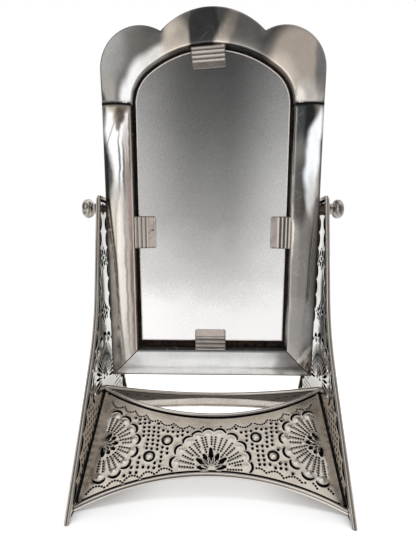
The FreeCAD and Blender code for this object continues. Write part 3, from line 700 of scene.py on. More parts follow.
def plain_metal(name, dark, light, rough, grit=300.0):
    """Metal with two mottled tones and a little grit."""
    look = new_look(name)
    clouds = look.grain(grit, 5.0, 0.65)
    rough = look.grain(grit * 6, 3.0, 0.6).span(0.3, 0.7, rough * 0.75, rough * 1.35)
    colour = look.blend(clouds.span(0.35, 0.65), dark, light)
    return look.coat((clouds, 0.2, 0.0003), Base_Color=colour, Metallic=1.0, Roughness=rough)


def dull_sheet():
    """Plain tin of the back: faint upright rolling marks, scratches and a few stains."""
    look = new_look("back_tin")
    brushed = look.streaks((900.0, 900.0, 14.0), 4.0, 0.6)
    clouds = look.grain(22.0, 5.0)
    stains = look.grain(38.0, 6.0, 0.7).step(0.58, 0.70)
    colour = look.layered(
        (0.44, 0.42, 0.39), (brushed.span(0.3, 0.7), (0.54, 0.52, 0.49)),
        (clouds.span(0.4, 0.75, 0.0, 0.3), (0.66, 0.64, 0.61)),
        (stains * 0.3, (0.25, 0.22, 0.185)), (hairlines(look) * 0.35, (0.82, 0.80, 0.77)))
    return look.coat((brushed * 0.2 + clouds, 0.15, 0.0006), Base_Color=colour, Metallic=1.0,
                     Roughness=brushed.span(0.3, 0.7, 0.3, 0.46))


def dull(name, light, grit, shine):
    """Matt dark surface, such as blackened solder or board."""
    look = new_look(name)
    clouds = look.grain(grit, 6.0, 0.7)
    glints = look.grain(grit * 1.7).step(0.62, 0.72)
    colour = look.blend(clouds.span(0.35, 0.65), (0.001, 0.001, 0.001), light)
    return look.coat((clouds, 0.6, 0.0006), Base_Color=colour, Roughness=0.6 - glints * 0.36,
                     Specular_IOR_Level=shine)


def ground_edge():
    """Ground bevel of the glass: pale, faintly pink, with fine chips."""
    look = new_look("glass_edge")
    chips = look.grain(700.0, 4.0, 0.7)
    colour = look.blend(chips.span(0.35, 0.65), (0.80, 0.70, 0.67), (0.98, 0.93, 0.91))
    return look.coat((chips, 0.2, 0.0002), Base_Color=colour,
                     Roughness=chips.span(0.3, 0.7, 0.2, 0.45))


def silvered_glass_painted_reflection():
    """Old mirror glass, slightly hazy, with a painted reflection: white low down, dark grey at the
    top, lighter at the sides.
    """
    look = new_look("silvered_glass_painted_reflection")
    across, _, height = look.parts("SeparateXYZ", look.place)
    haze = look.grain(1000.0, 4.0, 0.75)
    rise = height.span(0.10, 0.34) + look.grain(20.0).span(0.3, 0.7, -0.04, 0.04)
    # Painted reflection: the colour falls with height from white to dark grey.
    painted_reflection_ramp = look.add("ValToRGB", {0: rise})
    bar = painted_reflection_ramp.socket.node.color_ramp
    stops = ((0.0, 1.0), (0.1, 0.98), (0.25, 0.68), (0.47, 0.44), (0.68, 0.36), (1.0, 0.21))
    while len(bar.elements) < len(stops):
        bar.elements.new(0.5)
    for element, (at, level) in zip(bar.elements, stops):
        element.position = at
        element.color = (level, level * 0.995, level * 0.985, 1.0)
    # Painted reflection: lighter towards both sides, more so on the right and higher up.
    sides = across.step(-0.012, -0.07) * 0.9 + across.step(0.012, 0.07) * 2.4
    lift = sides * height.span(0.16, 0.33, 0.1, 1.0)
    colour = look.shaded(painted_reflection_ramp, haze.span(0.3, 0.7, 0.84, 1.16) * (lift + 1.0))
    return look.coat(Base_Color=colour, Metallic=1.0, Roughness=haze.span(0.3, 0.7, 0.17, 0.25))


# Painted reflections on the frame, one table for each piece: pale tones are painted highlights,
# dark tones are painted dark reflections.
PAINTED_HIGHLIGHT_WHITE = (0.97, 0.97, 0.96)
CREST_PAINTED_REFLECTIONS = [
    (26, 366, 17, 22, 0, 0.4, 0.95, (0.43, 0.41, 0.39), 0.0),
    (-84, 347, 13, 18, 10, 0.45, 0.95, (0.38, 0.38, 0.375), 0.0),
    (-86, 318, 9, 15, 0, 0.45, 0.95, (0.37, 0.36, 0.34), 0.0),
    (-72.0, 313, 6.4, 15, -4, 0.45, 1.0, PAINTED_HIGHLIGHT_WHITE, 0.95),
    (-64, 332, 7, 15, 35, 0.5, 1.0, PAINTED_HIGHLIGHT_WHITE, 0.8),
    (-46.0, 347, 16, 7, -35, 0.5, 0.95, (0.95, 0.92, 0.88), 0.65),
    (-29, 358, 12, 15, 0, 0.4, 0.9, (0.93, 0.83, 0.71), 0.1),
    (-8, 366, 12, 34, 0, 0.12, 1.0, (0.11, 0.11, 0.11), 0.0),
    (10, 364, 6, 18, 25, 0.5, 0.9, (0.88, 0.77, 0.67), 0.0),
    (7, 355, 6, 8, 0, 0.5, 0.7, (0.95, 0.86, 0.76), 0.2),
    (68, 345, 23, 25, 0, 0.3, 1.0, (0.58, 0.50, 0.43), 0.5),
    (57, 337, 8, 13, -35, 0.5, 0.8, (0.95, 0.84, 0.73), 0.35),
    (77, 315, 13, 13, 0, 0.5, 0.9, (0.88, 0.83, 0.77), 0.45),
    (88, 340, 4.5, 24, 0, 0.5, 0.8, (0.36, 0.36, 0.36), 0.15),
]
LEFT_RAIL_PAINTED_REFLECTIONS = [
    (-84, 268, 9.5, 46, 2, 0.25, 1.0, PAINTED_HIGHLIGHT_WHITE, 0.95),
    (-75.5, 285, 7, 30, 0, 0.3, 1.0, PAINTED_HIGHLIGHT_WHITE, 0.95),
    (-69.8, 285, 1.6, 34, 0, 0.5, 0.9, (0.24, 0.20, 0.18), 0.0),
    (-79.5, 307, 9, 6, 0, 0.35, 0.95, (0.42, 0.36, 0.30), 0.0),
    (-79.3, 299, 5, 7, 0, 0.35, 0.95, (0.26, 0.21, 0.17), 0.0),
    (-79.5, 291, 2.2, 4, 0, 0.5, 0.9, (0.36, 0.31, 0.26), 0.0),
    (-94.5, 245, 8.5, 40, 0, 0.3, 0.95, (0.05, 0.06, 0.055), 0.0),
    (-83, 224, 6, 20, 0, 0.5, 0.9, (0.56, 0.54, 0.50), 0.1),
    (-85.5, 285, 0.7, 16, 20, 0.5, 0.8, (0.40, 0.42, 0.44), 0.3),
    (-80.2, 255, 0.9, 30, 3, 0.5, 0.9, (0.34, 0.35, 0.36), 0.1),
    (-76.4, 245, 1.2, 34, 2, 0.5, 0.9, (0.22, 0.22, 0.23), 0.0),
    (-73.0, 225, 2.2, 60, 0, 0.5, 0.8, (0.66, 0.54, 0.50), 0.0),
    (-88.5, 165, 5, 60, 0, 0.35, 0.95, (0.76, 0.70, 0.62), 0.0),
    (-84.6, 175, 1.0, 50, 2, 0.6, 0.85, (0.36, 0.31, 0.26), 0.0),
    (-80, 170, 4.2, 66, 1, 0.4, 0.95, (0.95, 0.90, 0.83), 0.5),
    (-76.0, 150, 1.2, 60, 0, 0.6, 0.8, (0.34, 0.32, 0.30), 0.0),
    (-73.6, 150, 1.2, 60, 0, 0.6, 0.7, (0.72, 0.68, 0.64), 0.1),
    (-71.0, 150, 1.4, 60, 0, 0.5, 0.8, (0.36, 0.27, 0.23), 0.0),
    (-91.0, 135, 4.2, 62, 0, 0.35, 0.9, (0.44, 0.41, 0.385), 0.8),
]
RIGHT_RAIL_PAINTED_REFLECTIONS = [
    (75.5, 296, 10, 22, 0, 0.25, 1.0, (0.055, 0.06, 0.062), 0.0),
    (75.0, 262, 6, 20, 0, 0.4, 1.0, (0.16, 0.155, 0.15), 0.0),
    (76.5, 234, 7.0, 30, 0, 0.35, 0.95, (0.085, 0.08, 0.078), 0.0),
    (89.5, 222, 4, 22, 0, 0.5, 0.9, (0.60, 0.58, 0.56), 0.0),
    (89.2, 288, 5.8, 21, 18, 0.5, 1.0, (0.93, 0.97, 1.0), 0.9),
    (86.2, 262, 6.0, 27, 4, 0.35, 1.0, (0.93, 0.97, 1.0), 0.9),
    (86.0, 234, 3.8, 16, 0, 0.5, 0.9, (0.80, 0.81, 0.80), 0.6),
    (69.9, 205, 0.9, 68, 0, 0.5, 0.8, (0.90, 0.85, 0.80), 0.3),
    (82, 162, 14, 46, 0, 0.3, 1.0, (0.255, 0.24, 0.226), 0.1),
    (92, 160, 4.6, 74, 0, 0.35, 0.92, (0.20, 0.185, 0.172), 0.85),
    (82, 118, 14, 24, 0, 0.35, 0.95, (0.36, 0.345, 0.335), 0.85),
    (84, 88, 2.4, 16, 45, 0.5, 0.85, (0.82, 0.79, 0.76), 0.6),
]
BOTTOM_RAIL_PAINTED_REFLECTIONS = [
    (-18, 88, 78, 18, 0, 0.2, 0.95, (0.93, 0.93, 0.92), 0.75),
    (-80, 82, 15, 8, 0, 0.4, 0.9, (0.72, 0.71, 0.70), 0.8),
    (66, 80, 8, 12, 30, 0.5, 0.9, (0.30, 0.29, 0.28), 0.5),
    (80, 80, 12, 10, 0, 0.5, 0.9, (0.17, 0.16, 0.155), 0.3),
]
TIN = punched_tin("punched_tin", (0.54, 0.475, 0.40), (0.76, 0.685, 0.595), 0.26, 0.3)
# The panels' tin is a much paler copy of the apron tin, a painted highlight, and is painted dark
# brown near the feet as a reflection of the aprons; the panels' rims use a darker copy of the
# rolled tin, painted shade.
PANEL_TIN_PAINTED_LIGHT = punched_tin("panel_tin_painted_light", (0.66, 0.64, 0.61), (0.92, 0.91, 0.89), 0.14, 0.5, 0.85)
PANEL_RIM_TIN_PAINTED_SHADE = punched_tin("panel_rim_tin_painted_shade", (0.34, 0.305, 0.27), (0.50, 0.455, 0.41), 0.26, 0.35)
ROLL_TIN = punched_tin("rolled_tin", (0.50, 0.455, 0.41), (0.74, 0.69, 0.63), 0.22, 0.35)
# Frame materials: each piece's base tone and patches are painted reflections, lighter on the left
# and bottom rails and darker on the crest and the right rail.
CREST_TIN_PAINTED_REFLECTIONS = frame_tin_with_painted_light("crest_tin_painted_reflections", (0.24, 0.23, 0.22), CREST_PAINTED_REFLECTIONS, 0.2)
LEFT_RAIL_TIN_PAINTED_REFLECTIONS = frame_tin_with_painted_light("left_rail_tin_painted_reflections", (0.60, 0.57, 0.53), LEFT_RAIL_PAINTED_REFLECTIONS)
RIGHT_RAIL_TIN_PAINTED_REFLECTIONS = frame_tin_with_painted_light("right_rail_tin_painted_reflections", (0.36, 0.33, 0.31), RIGHT_RAIL_PAINTED_REFLECTIONS)
BOTTOM_RAIL_TIN_PAINTED_REFLECTIONS = frame_tin_with_painted_light("bottom_rail_tin_painted_reflections", (0.70, 0.68, 0.66), BOTTOM_RAIL_PAINTED_REFLECTIONS)
CLIP_TIN = frame_tin_with_painted_light("clip_tin", (0.50, 0.435, 0.40), [], 0.2)
BACK_TIN = dull_sheet()
SOLDER = dull("blackened_solder", (0.008, 0.007, 0.006), 500.0, 0.08)
BOARD = dull("dark_board", (0.035, 0.022, 0.014), 230.0, 0.1)
WIRE = plain_metal("iron_wire", (0.18, 0.15, 0.12), (0.30, 0.27, 0.24), 0.45)
STEEL = plain_metal("dark_steel", (0.06, 0.045, 0.035), (0.16, 0.12, 0.09), 0.3)
KNOB_METAL = plain_metal("polished_knob", (0.07, 0.06, 0.05), (0.72, 0.68, 0.63), 0.1, 170.0)
GLASS_PAINTED_REFLECTION = silvered_glass_painted_reflection()
GLASS_EDGE = ground_edge()


# Stand

APRON_RUN = APRON_FOOT[0] - APRON_TOP[0]
APRON_CLIMB = APRON_TOP[1] - APRON_FOOT[1]
APRON_SLANT = math.hypot(APRON_RUN, APRON_CLIMB)


def apron_place(way):
    """Turns (across, up the slope, out) into the row frame."""
    up = Vector((0, APRON_RUN, APRON_CLIMB)) / APRON_SLANT
    out = Vector((0, -APRON_CLIMB, APRON_RUN)) / APRON_SLANT
    base = Vector((0, -APRON_FOOT[0], APRON_FOOT[1]))

    def place(x, s, h):
        spot = base + Vector((x, 0, 0)) + up * s + out * h
        return (-way * spot.x, -way * spot.y, spot.z)

    return place


def arc_through(half, end_level, middle_level):
    """Centre level and signed radius of an arc from its ends and its middle."""
    rise = middle_level - end_level
    radius = (half * half + rise * rise) / (2 * rise)
    return middle_level - radius, radius


def arc_level(arc, x):
    centre, radius = arc
    return centre + math.copysign(math.sqrt(radius * radius - x * x), radius)


LEFT_FAN = [78.9, 57.2, 33.6, 9.9, -15.2, -39.5, -62.0, -85.8]
RIGHT_FAN = [101, 124.5, 148.1, 171.8, 197, 218.6, 242.1, 262.9]
MIDDLE_FAN = [171, 149.3, 129.5, 112.9, 95.9, 77.8, 58.2, 39, 21.2, 3.9]
TOP_CUSPS = [(-87.5, 90.7), (-75.6, 86.0), (-65.5, 81.8), (-55.3, 77.7), (-44, 73.2), (-31, 69.8),
             (-17.6, 67.7), (-5.5, 67.9)]
TOP_CUSPS_RIGHT = [(8.2, 67.4), (20.7, 69.0), (35.1, 71.5), (48.3, 74.6), (62.6, 80.7),
                   (75.3, 85.9), (88.8, 91.7)]
FOOT_CUSPS = [(-91.4, 9.5), (-78, 14.1), (-66, 18.5), (-53.6, 22.2), (-42.3, 24.9), (-29.8, 28.0)]
FOOT_CUSPS_RIGHT = [(29.9, 28.1), (43.1, 27.1), (55.7, 23.1), (69.3, 19.1), (79.6, 15.2),
                    (91, 10.6)]
CUSPS_TOP = TOP_CUSPS + TOP_CUSPS_RIGHT
CUSPS_FOOT = FOOT_CUSPS + FOOT_CUSPS_RIGHT
RINGS = [(-35.7, 54.2), (-48.8, 39.9), (37.0, 57.6), (49.6, 41.5)]
SIDE_PALM = [(64, 7.5, 1.9, 2.5), (34, 8.0, 2.0, 2.4), (4, 9.5, 2.2, 1.8), (-27, 8.5, 2.0, 2.4),
             (-56, 7.5, 1.9, 3.1), (-86, 8.0, 2.1, 3.6)]
MIDDLE_PALM = [(174, 8.0, 2.0, 3.4), (146, 11.5, 2.1, 3.0), (119, 10.0, 2.0, 3.8),
               (93, 15.0, 2.1, 2.6), (67, 10.0, 2.0, 3.8), (38, 11.5, 2.1, 3.0),
               (10, 8.0, 2.0, 3.4)]
LEFT_HUB, RIGHT_HUB, MIDDLE_HUB = (-86.8, 50.2), (88.3, 52.9), (0.8, 30.2)
SHELLS = ((LEFT_HUB, 31.9), (RIGHT_HUB, 34.7), (MIDDLE_HUB, 36.9))
JITTER = 0.25


def scallop_level(cusps, x, sag):
    """Level of a scalloped line at the given place across."""
    for start, end in zip(cusps, cusps[1:]):
        if start[0] <= x <= end[0]:
            share = (x - start[0]) / (end[0] - start[0])
            return start[1] + (end[1] - start[1]) * share + sag * 4 * share * (1 - share)
    return None


def field_clear(spot):
    """True where the field's dots stay between the scallops and off the shells and rings."""
    high = scallop_level(CUSPS_TOP, spot[0], -SCALLOP_SAG)
    low = scallop_level(CUSPS_FOOT, spot[0], SCALLOP_SAG)
    if not high or not low or not low + 2.1 < spot[1] < high - 2.1:
        return False
    return (all(math.dist(spot, hub) >= reach for hub, reach in SHELLS)
            and all(math.dist(spot, ring) > 6.2 for ring in RINGS))


def apron_sheet(seed):
    """Punched apron, and the arcs of its top and its foot."""
    top = arc_through(APRON_HALF, APRON_SLANT, APRON_SLANT - TOP_DIP)
    foot = arc_through(APRON_HALF, 0.0, ARCH_CLIMB)
    across = evenly(-APRON_HALF, APRON_HALF, 64)
    outline = [(x, arc_level(foot, x)) for x in across]
    outline += [(x, arc_level(top, x)) for x in reversed(across)]
    sheet = PunchedSheet(outline, seed)
    for arc, offsets in ((top, (-1.7, -3.4, -3.8)), (foot, (1.7, 3.2, 3.6))):
        for offset, wear_and_painted_light in zip(offsets, (SEAM, SEAM, (0, 0.3, 0.2))):
            line = [(x, arc_level(arc, x) + offset) for x in across[2:-2]]
            sheet.add_line(line, -SEAM_DEPTH, wear_and_painted_light)
    for offset, wear_and_painted_light in ((1.0, (1, 0, 0.4)), (1.5, (0, 0.1, 0.3))):
        for side in (-1, 1):
            x = side * (APRON_HALF - offset)
            levels = evenly(arc_level(foot, x) + 4.1, arc_level(top, x) - 4.3, 24)
            sheet.add_line([(x, level) for level in levels], 0.0, wear_and_painted_light)
    fan(sheet, LEFT_HUB, LEFT_FAN, [29.2, 27, 26.5, 26.5, 26.5, 27, 28.5, 30], SIDE_PALM, 11.0)
    fan(sheet, RIGHT_HUB, RIGHT_FAN, [28, 29, 29.5, 30, 29, 29.5, 31, 33],
        [(180 - angle, *rest) for angle, *rest in SIDE_PALM], 11.0)
    fan(sheet, MIDDLE_HUB, MIDDLE_FAN, [30.5, 31, 31.5, 32, 32.5, 33, 32.5, 31.5, 30, 29.5],
        MIDDLE_PALM, 12.5)
    for spot in RINGS:
        sheet.ring(spot, 3.9)
    for line in (TOP_CUSPS, TOP_CUSPS_RIGHT):
        scallops(sheet, line, SCALLOP_SAG)
    for line in (FOOT_CUSPS, FOOT_CUSPS_RIGHT):
        scallops(sheet, line, -SCALLOP_SAG)
    chance = random.Random(seed)
    column = -86.0
    while column < 87:
        level = 14.0 + chance.uniform(0, 2.5)
        while level < 88:
            bend = 1.2 * math.sin(level / 16.0 + column / 30.0)
            spot = (column + bend + chance.uniform(-JITTER, JITTER),
                    level + chance.uniform(-JITTER, JITTER))
            if field_clear(spot):
                sheet.dot(spot, 1.2, DOT_DEPTH, tall=1.12, sides=10)
            level += 3.9
        column += 4.15
    scatter(sheet, outline, 3.4, lambda x, s: (
        arc_level(foot, x) + 4.3 < s < arc_level(top, x) - 4.5 and abs(x) < APRON_HALF - 3.6))
    return sheet, top, foot


def off_angle(turn, at):
    """How far one angle is from another, in degrees from -180 to 180."""
    return (turn - at + 180) % 360 - 180


def bead_section(groove_at, seam_shade_at, reach=38.0, darkening=0.85, contact_shadow_at=None):
    """Section of a rolled edge: two ridges with a groove between them, and its marks.

    The seam side is darkened over its reach in degrees, painted shade that covers the inner side of
    the rear apron's top roll; a narrow band at the last angle is a painted contact shadow.
    """
    section, wear_and_painted_light = [], []
    for turn in evenly(0, 360, 32)[:-1]:
        off = off_angle(turn, groove_at)
        # Brown line in the groove: seam colour and painted shade.
        dip = math.exp(-(off / 15.0) ** 2)
        shade = math.exp(-(off_angle(turn, seam_shade_at) / reach) ** (4 if reach > 60 else 2))
        if contact_shadow_at is not None:
            shade = max(shade, math.exp(-(off_angle(turn, contact_shadow_at) / 24.0) ** 4))
        radius = RIM * (1 - 0.2 * dip)
        angle = math.radians(turn)
        section.append((radius * math.cos(angle), radius * math.sin(angle)))
        # Painted highlights along both ridges, away from the shaded side.
        bright = math.exp(-((abs(off) - 34) / 13.0) ** 2) * (1 - shade)
        wear_and_painted_light.append((0.25 * dip + darkening * shade, 0.85 * bright, min(1.0, dip + 0.6 * shade)))
    return section, wear_and_painted_light


def make_roll(name, path, marks, cut, place, look, nodes):
    """Rolled edge along a line of a sheet."""
    section, wear_and_painted_light = bead_section(*marks)
    points, faces = sweep(path, section, *cut)
    points = [place(*point) for point in points]
    make_piece(name, points, faces, [look], nodes, "stand", wear_and_painted_light=wear_and_painted_light * len(path))


def rear_painted_shade(x, s):
    """Painted shade: a dark band along the top of the rear apron's inner face, deeper towards its
    ends, over a faint shade on the rest.
    """
    level = 61.5 - 16.0 * min(1.0, abs(x) / 70.0) ** 1.5
    return min(1.0, max(0.2, (s - level) / 5.0 + 0.5))


def make_apron(word, way, seed, through, painted_shade_band, top_marks, foot_marks):
    place = apron_place(way)
    nodes = [f"{word}_apron"]
    sheet, top, foot = apron_sheet(seed)
    close_sheet(f"{word}_apron_sheet", sheet, place, TIN, nodes, through, painted_shade_band)
    for edge, arc, marks in (("top", top, top_marks), ("foot", foot, foot_marks)):
        path = [(x, arc_level(arc, x)) for x in evenly(-APRON_HALF, APRON_HALF, 60)]
        make_roll(f"{word}_apron_{edge}_roll", path, marks, (0, -APRON_HALF, APRON_HALF), place,
                  ROLL_TIN, nodes)


def rim_line():
    """Line of a panel's rolled edge, from its front foot over the top to its rear foot."""
    front = [(-FOOT[0], FOOT[1]), (-WAIST[0], WAIST[1]), (-RIM_TOP[0], RIM_TOP[1])]
    corners = front + [(-y, z) for y, z in reversed(front)]
    radii = [WAIST_BEND, RIM_TOP_CORNER, RIM_TOP_CORNER, WAIST_BEND]
    return rounded(corners, radii, 2.5)


def half_depth(line, z):
    """Half the depth of a panel at a height."""
    best = None
    for start, end in zip(line, line[1:]):
        if start.x < 0 and start.y <= z <= end.y and end.y > start.y:
            share = (z - start.y) / (end.y - start.y)
            best = -(start.x + (end.x - start.x) * share)
    return best


PANEL_HUB = (0.0, 70.0)
PANEL_PALM = [(angle, 5.0, 1.5, 2.4) for angle in evenly(0, 180, 4)]
PANEL_PALM += [(angle, 18.5, 1.5, 12.2) for angle in evenly(-10, 190, 20)]
PANEL_CUSPS = [6.0, 19.5, 33.0, 46.5, 60.0, 73.5, 87.5, 101.5, 116.0, 130.5, 145.0, 159.5, 174.0,
               188.5, 203.0, 216.0]
PANEL_FAN = 37.5
FIELD_PITCH = 5.2
FLOWERS = (130.0, 179.0)
MARK_DEPTH = 0.12


def wavy_stroke(sheet, line, way, low, high):
    """One arc of the punched line that follows a panel's rim, between two heights."""
    spine = []
    for share in evenly(0.08, 0.92, 6):
        z = low + (high - low) * share
        spine.append((way * (half_depth(line, z) - 6.0 - 3.4 * 4 * share * (1 - share)), z))
    sheet.stroke(spine, [1.3, 2.0, 2.5, 2.7, 2.5, 2.0, 1.3], MARK_DEPTH)


def punch_flower(sheet, z):
    """Eight petals round a dot, with a smaller dot between each two."""
    sheet.dot((0.0, z), 2.3, MARK_DEPTH, tall=0.8, sides=12)
    for number in range(8):
        turn = math.tau * (number + 0.5) / 8
        spine = [(1.5 * far * math.cos(turn), z + far * math.sin(turn))
                 for far in (3.2, 4.6, 6.0, 7.4)]
        sheet.stroke(spine, [1.0, 1.9, 2.1, 1.3], MARK_DEPTH)
        spot = (13.4 * math.cos(turn + 0.39), z + 8.6 * math.sin(turn + 0.39))
        sheet.dot(spot, 1.4, MARK_DEPTH, sides=10)


def panel_sheet(line, seed):
    """Punched side panel inside its rim line."""
    sheet = PunchedSheet(line, seed, lip=0.03)
    for offset, wear_and_painted_light in ((1.7, SEAM), (3.4, SEAM), (3.9, (0, 0.2, 0.2))):
        rail = [spot + Vector((way.y, -way.x)) * offset for spot, way in zip(line, tangents(line))]
        sheet.add_line([place for place in rail if place.y > 2.0], -SEAM_DEPTH, wear_and_painted_light)
    for way in (-1, 1):
        for low, high in zip(PANEL_CUSPS, PANEL_CUSPS[1:]):
            wavy_stroke(sheet, line, way, low, high)
    fan(sheet, PANEL_HUB, evenly(-10, 190, 10), [PANEL_FAN] * 11, PANEL_PALM, bold=1.7,
        depth=MARK_DEPTH)
    for z in FLOWERS:
        punch_flower(sheet, z)
    chance = random.Random(int(seed))
    z = 10.0
    while z < 62:
        reach = half_depth(line, z) - 14.0
        y = -math.floor(reach / FIELD_PITCH) * FIELD_PITCH
        while y <= reach:
            if z < 54 or math.dist((y, z), PANEL_HUB) > PANEL_FAN + 5.5:
                spot = (y + chance.uniform(-JITTER, JITTER), z + chance.uniform(-JITTER, JITTER))
                sheet.dot(spot, 1.6, MARK_DEPTH)
            y += FIELD_PITCH
        z += 4.6
    for radius, wear_and_painted_light in ((3.6, (0.5, 0, 0.3)), (2.46, (0.6, 0, 0.5))):
        sheet.add_line(circle((0.0, PIVOT_Z), radius, 24), 0.0, wear_and_painted_light, closed=True)

    def inside(y, z):
        reach = half_depth(line, z)
        return (reach is not None and abs(y) < reach - 4.6 and 1.5 < z < RIM_TOP[1] - 4.6
                and math.hypot(y, z - PIVOT_Z) > 4.5)

    scatter(sheet, line, 4.2, inside)
    return sheet


def make_panel(word, side, seed):
    def place(y, z, h):
        return (side * (PANEL_X - h), y, z)

    line = rim_line()
    nodes = [f"{word}_side_panel"]
    close_sheet(f"{word}_panel_sheet", panel_sheet(line, seed), place, PANEL_TIN_PAINTED_LIGHT, nodes)
    make_roll(f"{word}_panel_roll", line, (0.0, 180.0), (1, 0.0, 0.0), place, PANEL_RIM_TIN_PAINTED_SHADE, nodes)


# Roll marks: groove angle, then centre, reach and darkness of the painted shade, then the angle of
# the painted contact shadow; the rear top roll is painted dark over its inner side.
make_apron("front", -1, 11.0, 0.7, None, (62.0, 180.0), (130.0, 0.0, 38.0, 0.85, 224.0))
make_apron("rear", 1, 23.0, 0.12, rear_painted_shade, (30.0, 245.0, 86.0, 0.5), (130.0, 0.0, 38.0, 0.1))
make_panel("left", -1, 5.0)
make_panel("right", 1, 9.0)


# Mirror frame

def rail_front(share):
    """How far a rail's face stands before its edges, share across its width."""
    half = RAIL_WIDTH / 2
    radius = (half * half + RAIL_CROWN * RAIL_CROWN) / (2 * RAIL_CROWN)
    off = (share - 0.5) * RAIL_WIDTH
    return math.sqrt(radius * radius - off * off) - (radius - RAIL_CROWN)


def rail_section():
    """Closed channel section as (share across in mm, depth) points with soft front corners."""
    outer = [(0.0, FRAME_BACK), (0.0, FRAME_FRONT + 0.5), (0.1, FRAME_FRONT + 0.1)]
    outer += [(share * RAIL_WIDTH, FRAME_FRONT - rail_front(share))
              for share in evenly(0, 1, 26)[1:-1]]
    outer += [(RAIL_WIDTH - across, depth) for across, depth in outer[2::-1]]
    inner = [(RAIL_WIDTH - FRAME_GAUGE, FRAME_BACK)]
    for share in evenly(1, 0, 12)[1:-1]:
        width = min(max(share * RAIL_WIDTH, FRAME_GAUGE), RAIL_WIDTH - FRAME_GAUGE)
        inner.append((width, FRAME_FRONT - rail_front(share) + FRAME_GAUGE))
    return outer + inner + [(FRAME_GAUGE, FRAME_BACK)]


RAIL_SECTION = rail_section()


def rail_painted_light(corner, wall, shaded=False):
    """Painted shade along the outer corner, a painted highlight on the inner lip, and the inner
    wall's given marks; shaded paints the front of the inner edge dark.
    """
    wear_and_painted_light = []
    for across, depth in RAIL_SECTION:
        front = depth < FRAME_FRONT + 0.3
        line = max(0.0, 1 - across / 2.4) if front else 0.0
        lip = math.exp(-((across - RAIL_WIDTH + 0.9) / 0.7) ** 2) if front else 0.0
        if shaded and front and across > RAIL_WIDTH - 1.3:
            wear_and_painted_light.append((0.7, 0, 0.3))
        elif across > RAIL_WIDTH - 0.05:
            wear_and_painted_light.append(wall)
        elif across < 0.05:
            wear_and_painted_light.append((0.1, 0.2, 0.3))
        else:
            wear_and_painted_light.append((corner * line, 0.6 * lip, 0.5 * line))
    return wear_and_painted_light


def rail_ripple(across, along, depth, dents, seed):
    """Small dents and waves in a rail's bulging face, in depth."""
    if depth > FRAME_FRONT + 0.05:
        return 0.0
    bump = 0.22 * wave(across * 1.6, along * 0.35, seed * 3.7, 16.0)
    for centre, level, wide, tall, deep in dents:
        bump += deep * math.exp(-((across - centre) / wide) ** 2 - ((along - level) / tall) ** 2)
    return bump * math.sin(math.pi * min(max(across / RAIL_WIDTH, 0), 1))


def make_rail(name, points, wear_and_painted_light, look, node):
    """Channel from rows of points that follow the rail's section."""
    size = len(RAIL_SECTION)
    make_piece(name, points, ring_faces(len(points) // size, size), [look], [node],
               wear_and_painted_light=wear_and_painted_light, smooth=40.0)


def make_side_rail(word, side, look, wall, dents):
    points, wear_and_painted_light = [], []
    for share in evenly(0, 1, 90):
        # Strength of the painted shade along the outer corner, greatest about a third of the way
        # up.
        corner = 0.55 + 0.4 * math.exp(-((share - 0.35) / 0.25) ** 2)
        wear_and_painted_light += rail_painted_light(corner, wall) if share < 1 else [(0.85, 0, 0)] * len(RAIL_SECTION)
        for across, depth in RAIL_SECTION:
            low = FRAME_BOTTOM + across + MITRE_SHIFT
            z = low + (JOINT_LOW - low) * share
            points.append((side * (FRAME_HALF - across),
                           depth + rail_ripple(across, z, depth, dents, side), z))
    make_rail(f"{word}_rail_channel", points, wear_and_painted_light, look, f"{word}_rail")


def make_bottom_rail():
    points, wear_and_painted_light = [], []
    for share in evenly(-1, 1, 80):
        # Painted shade on the inner wall and the front of the inner edge.
        wear_and_painted_light += rail_painted_light(0.7, (0.9, 0, 0.5), shaded=True)
        for across, depth in RAIL_SECTION:
            x = (FRAME_HALF - across - MITRE_SHIFT) * share
            depth += rail_ripple(across, x, depth, [], 2.0)
            points.append((x, depth, FRAME_BOTTOM + across))
    make_rail("bottom_rail_channel", points, wear_and_painted_light, BOTTOM_RAIL_TIN_PAINTED_REFLECTIONS, "bottom_rail")


def arch_line(inset, steps):
    """Three-centred arch of the opening, from its right spring to its left one."""
    small = ARCH_CORNER - inset
    rise = ARCH_RISE - inset
    flat = OPENING_HALF - ARCH_CORNER
    large = (flat * flat + rise * rise - small * small) / (2 * (rise - small))
    low = JOINT_HIGH + rise - large
    turn = math.degrees(math.atan2(JOINT_HIGH - low, flat))
    corner = arc_points((flat, JOINT_HIGH), small, 0, turn, steps)
    return mirrored(corner + arc_points((0, low), large, turn, 90, steps)[1:])


def lobe_line():
    """Crest's outline over three lobes, from its right side to its left one, and its notch."""
    apart = math.hypot(LOBE[0], CROWN[1] - LOBE[1])
    along = (LOBE[2] ** 2 - CROWN[2] ** 2 + apart ** 2) / (2 * apart)
    height = math.sqrt(LOBE[2] ** 2 - along ** 2)
    unit = ((CROWN[0] - LOBE[0]) / apart, (CROWN[1] - LOBE[1]) / apart)
    notch = (LOBE[0] + along * unit[0] + height * unit[1],
             LOBE[1] + along * unit[1] - height * unit[0])
    turn = math.degrees(math.atan2(notch[1] - LOBE[1], notch[0] - LOBE[0]))
    crown_turn = math.degrees(math.atan2(notch[1] - CROWN[1], notch[0] - CROWN[0]))
    lobe = arc_points(LOBE[:2], LOBE[2], 0, turn, 22)
    return mirrored(lobe + arc_points(CROWN[:2], CROWN[2], crown_turn, 90, 22)[1:]), notch


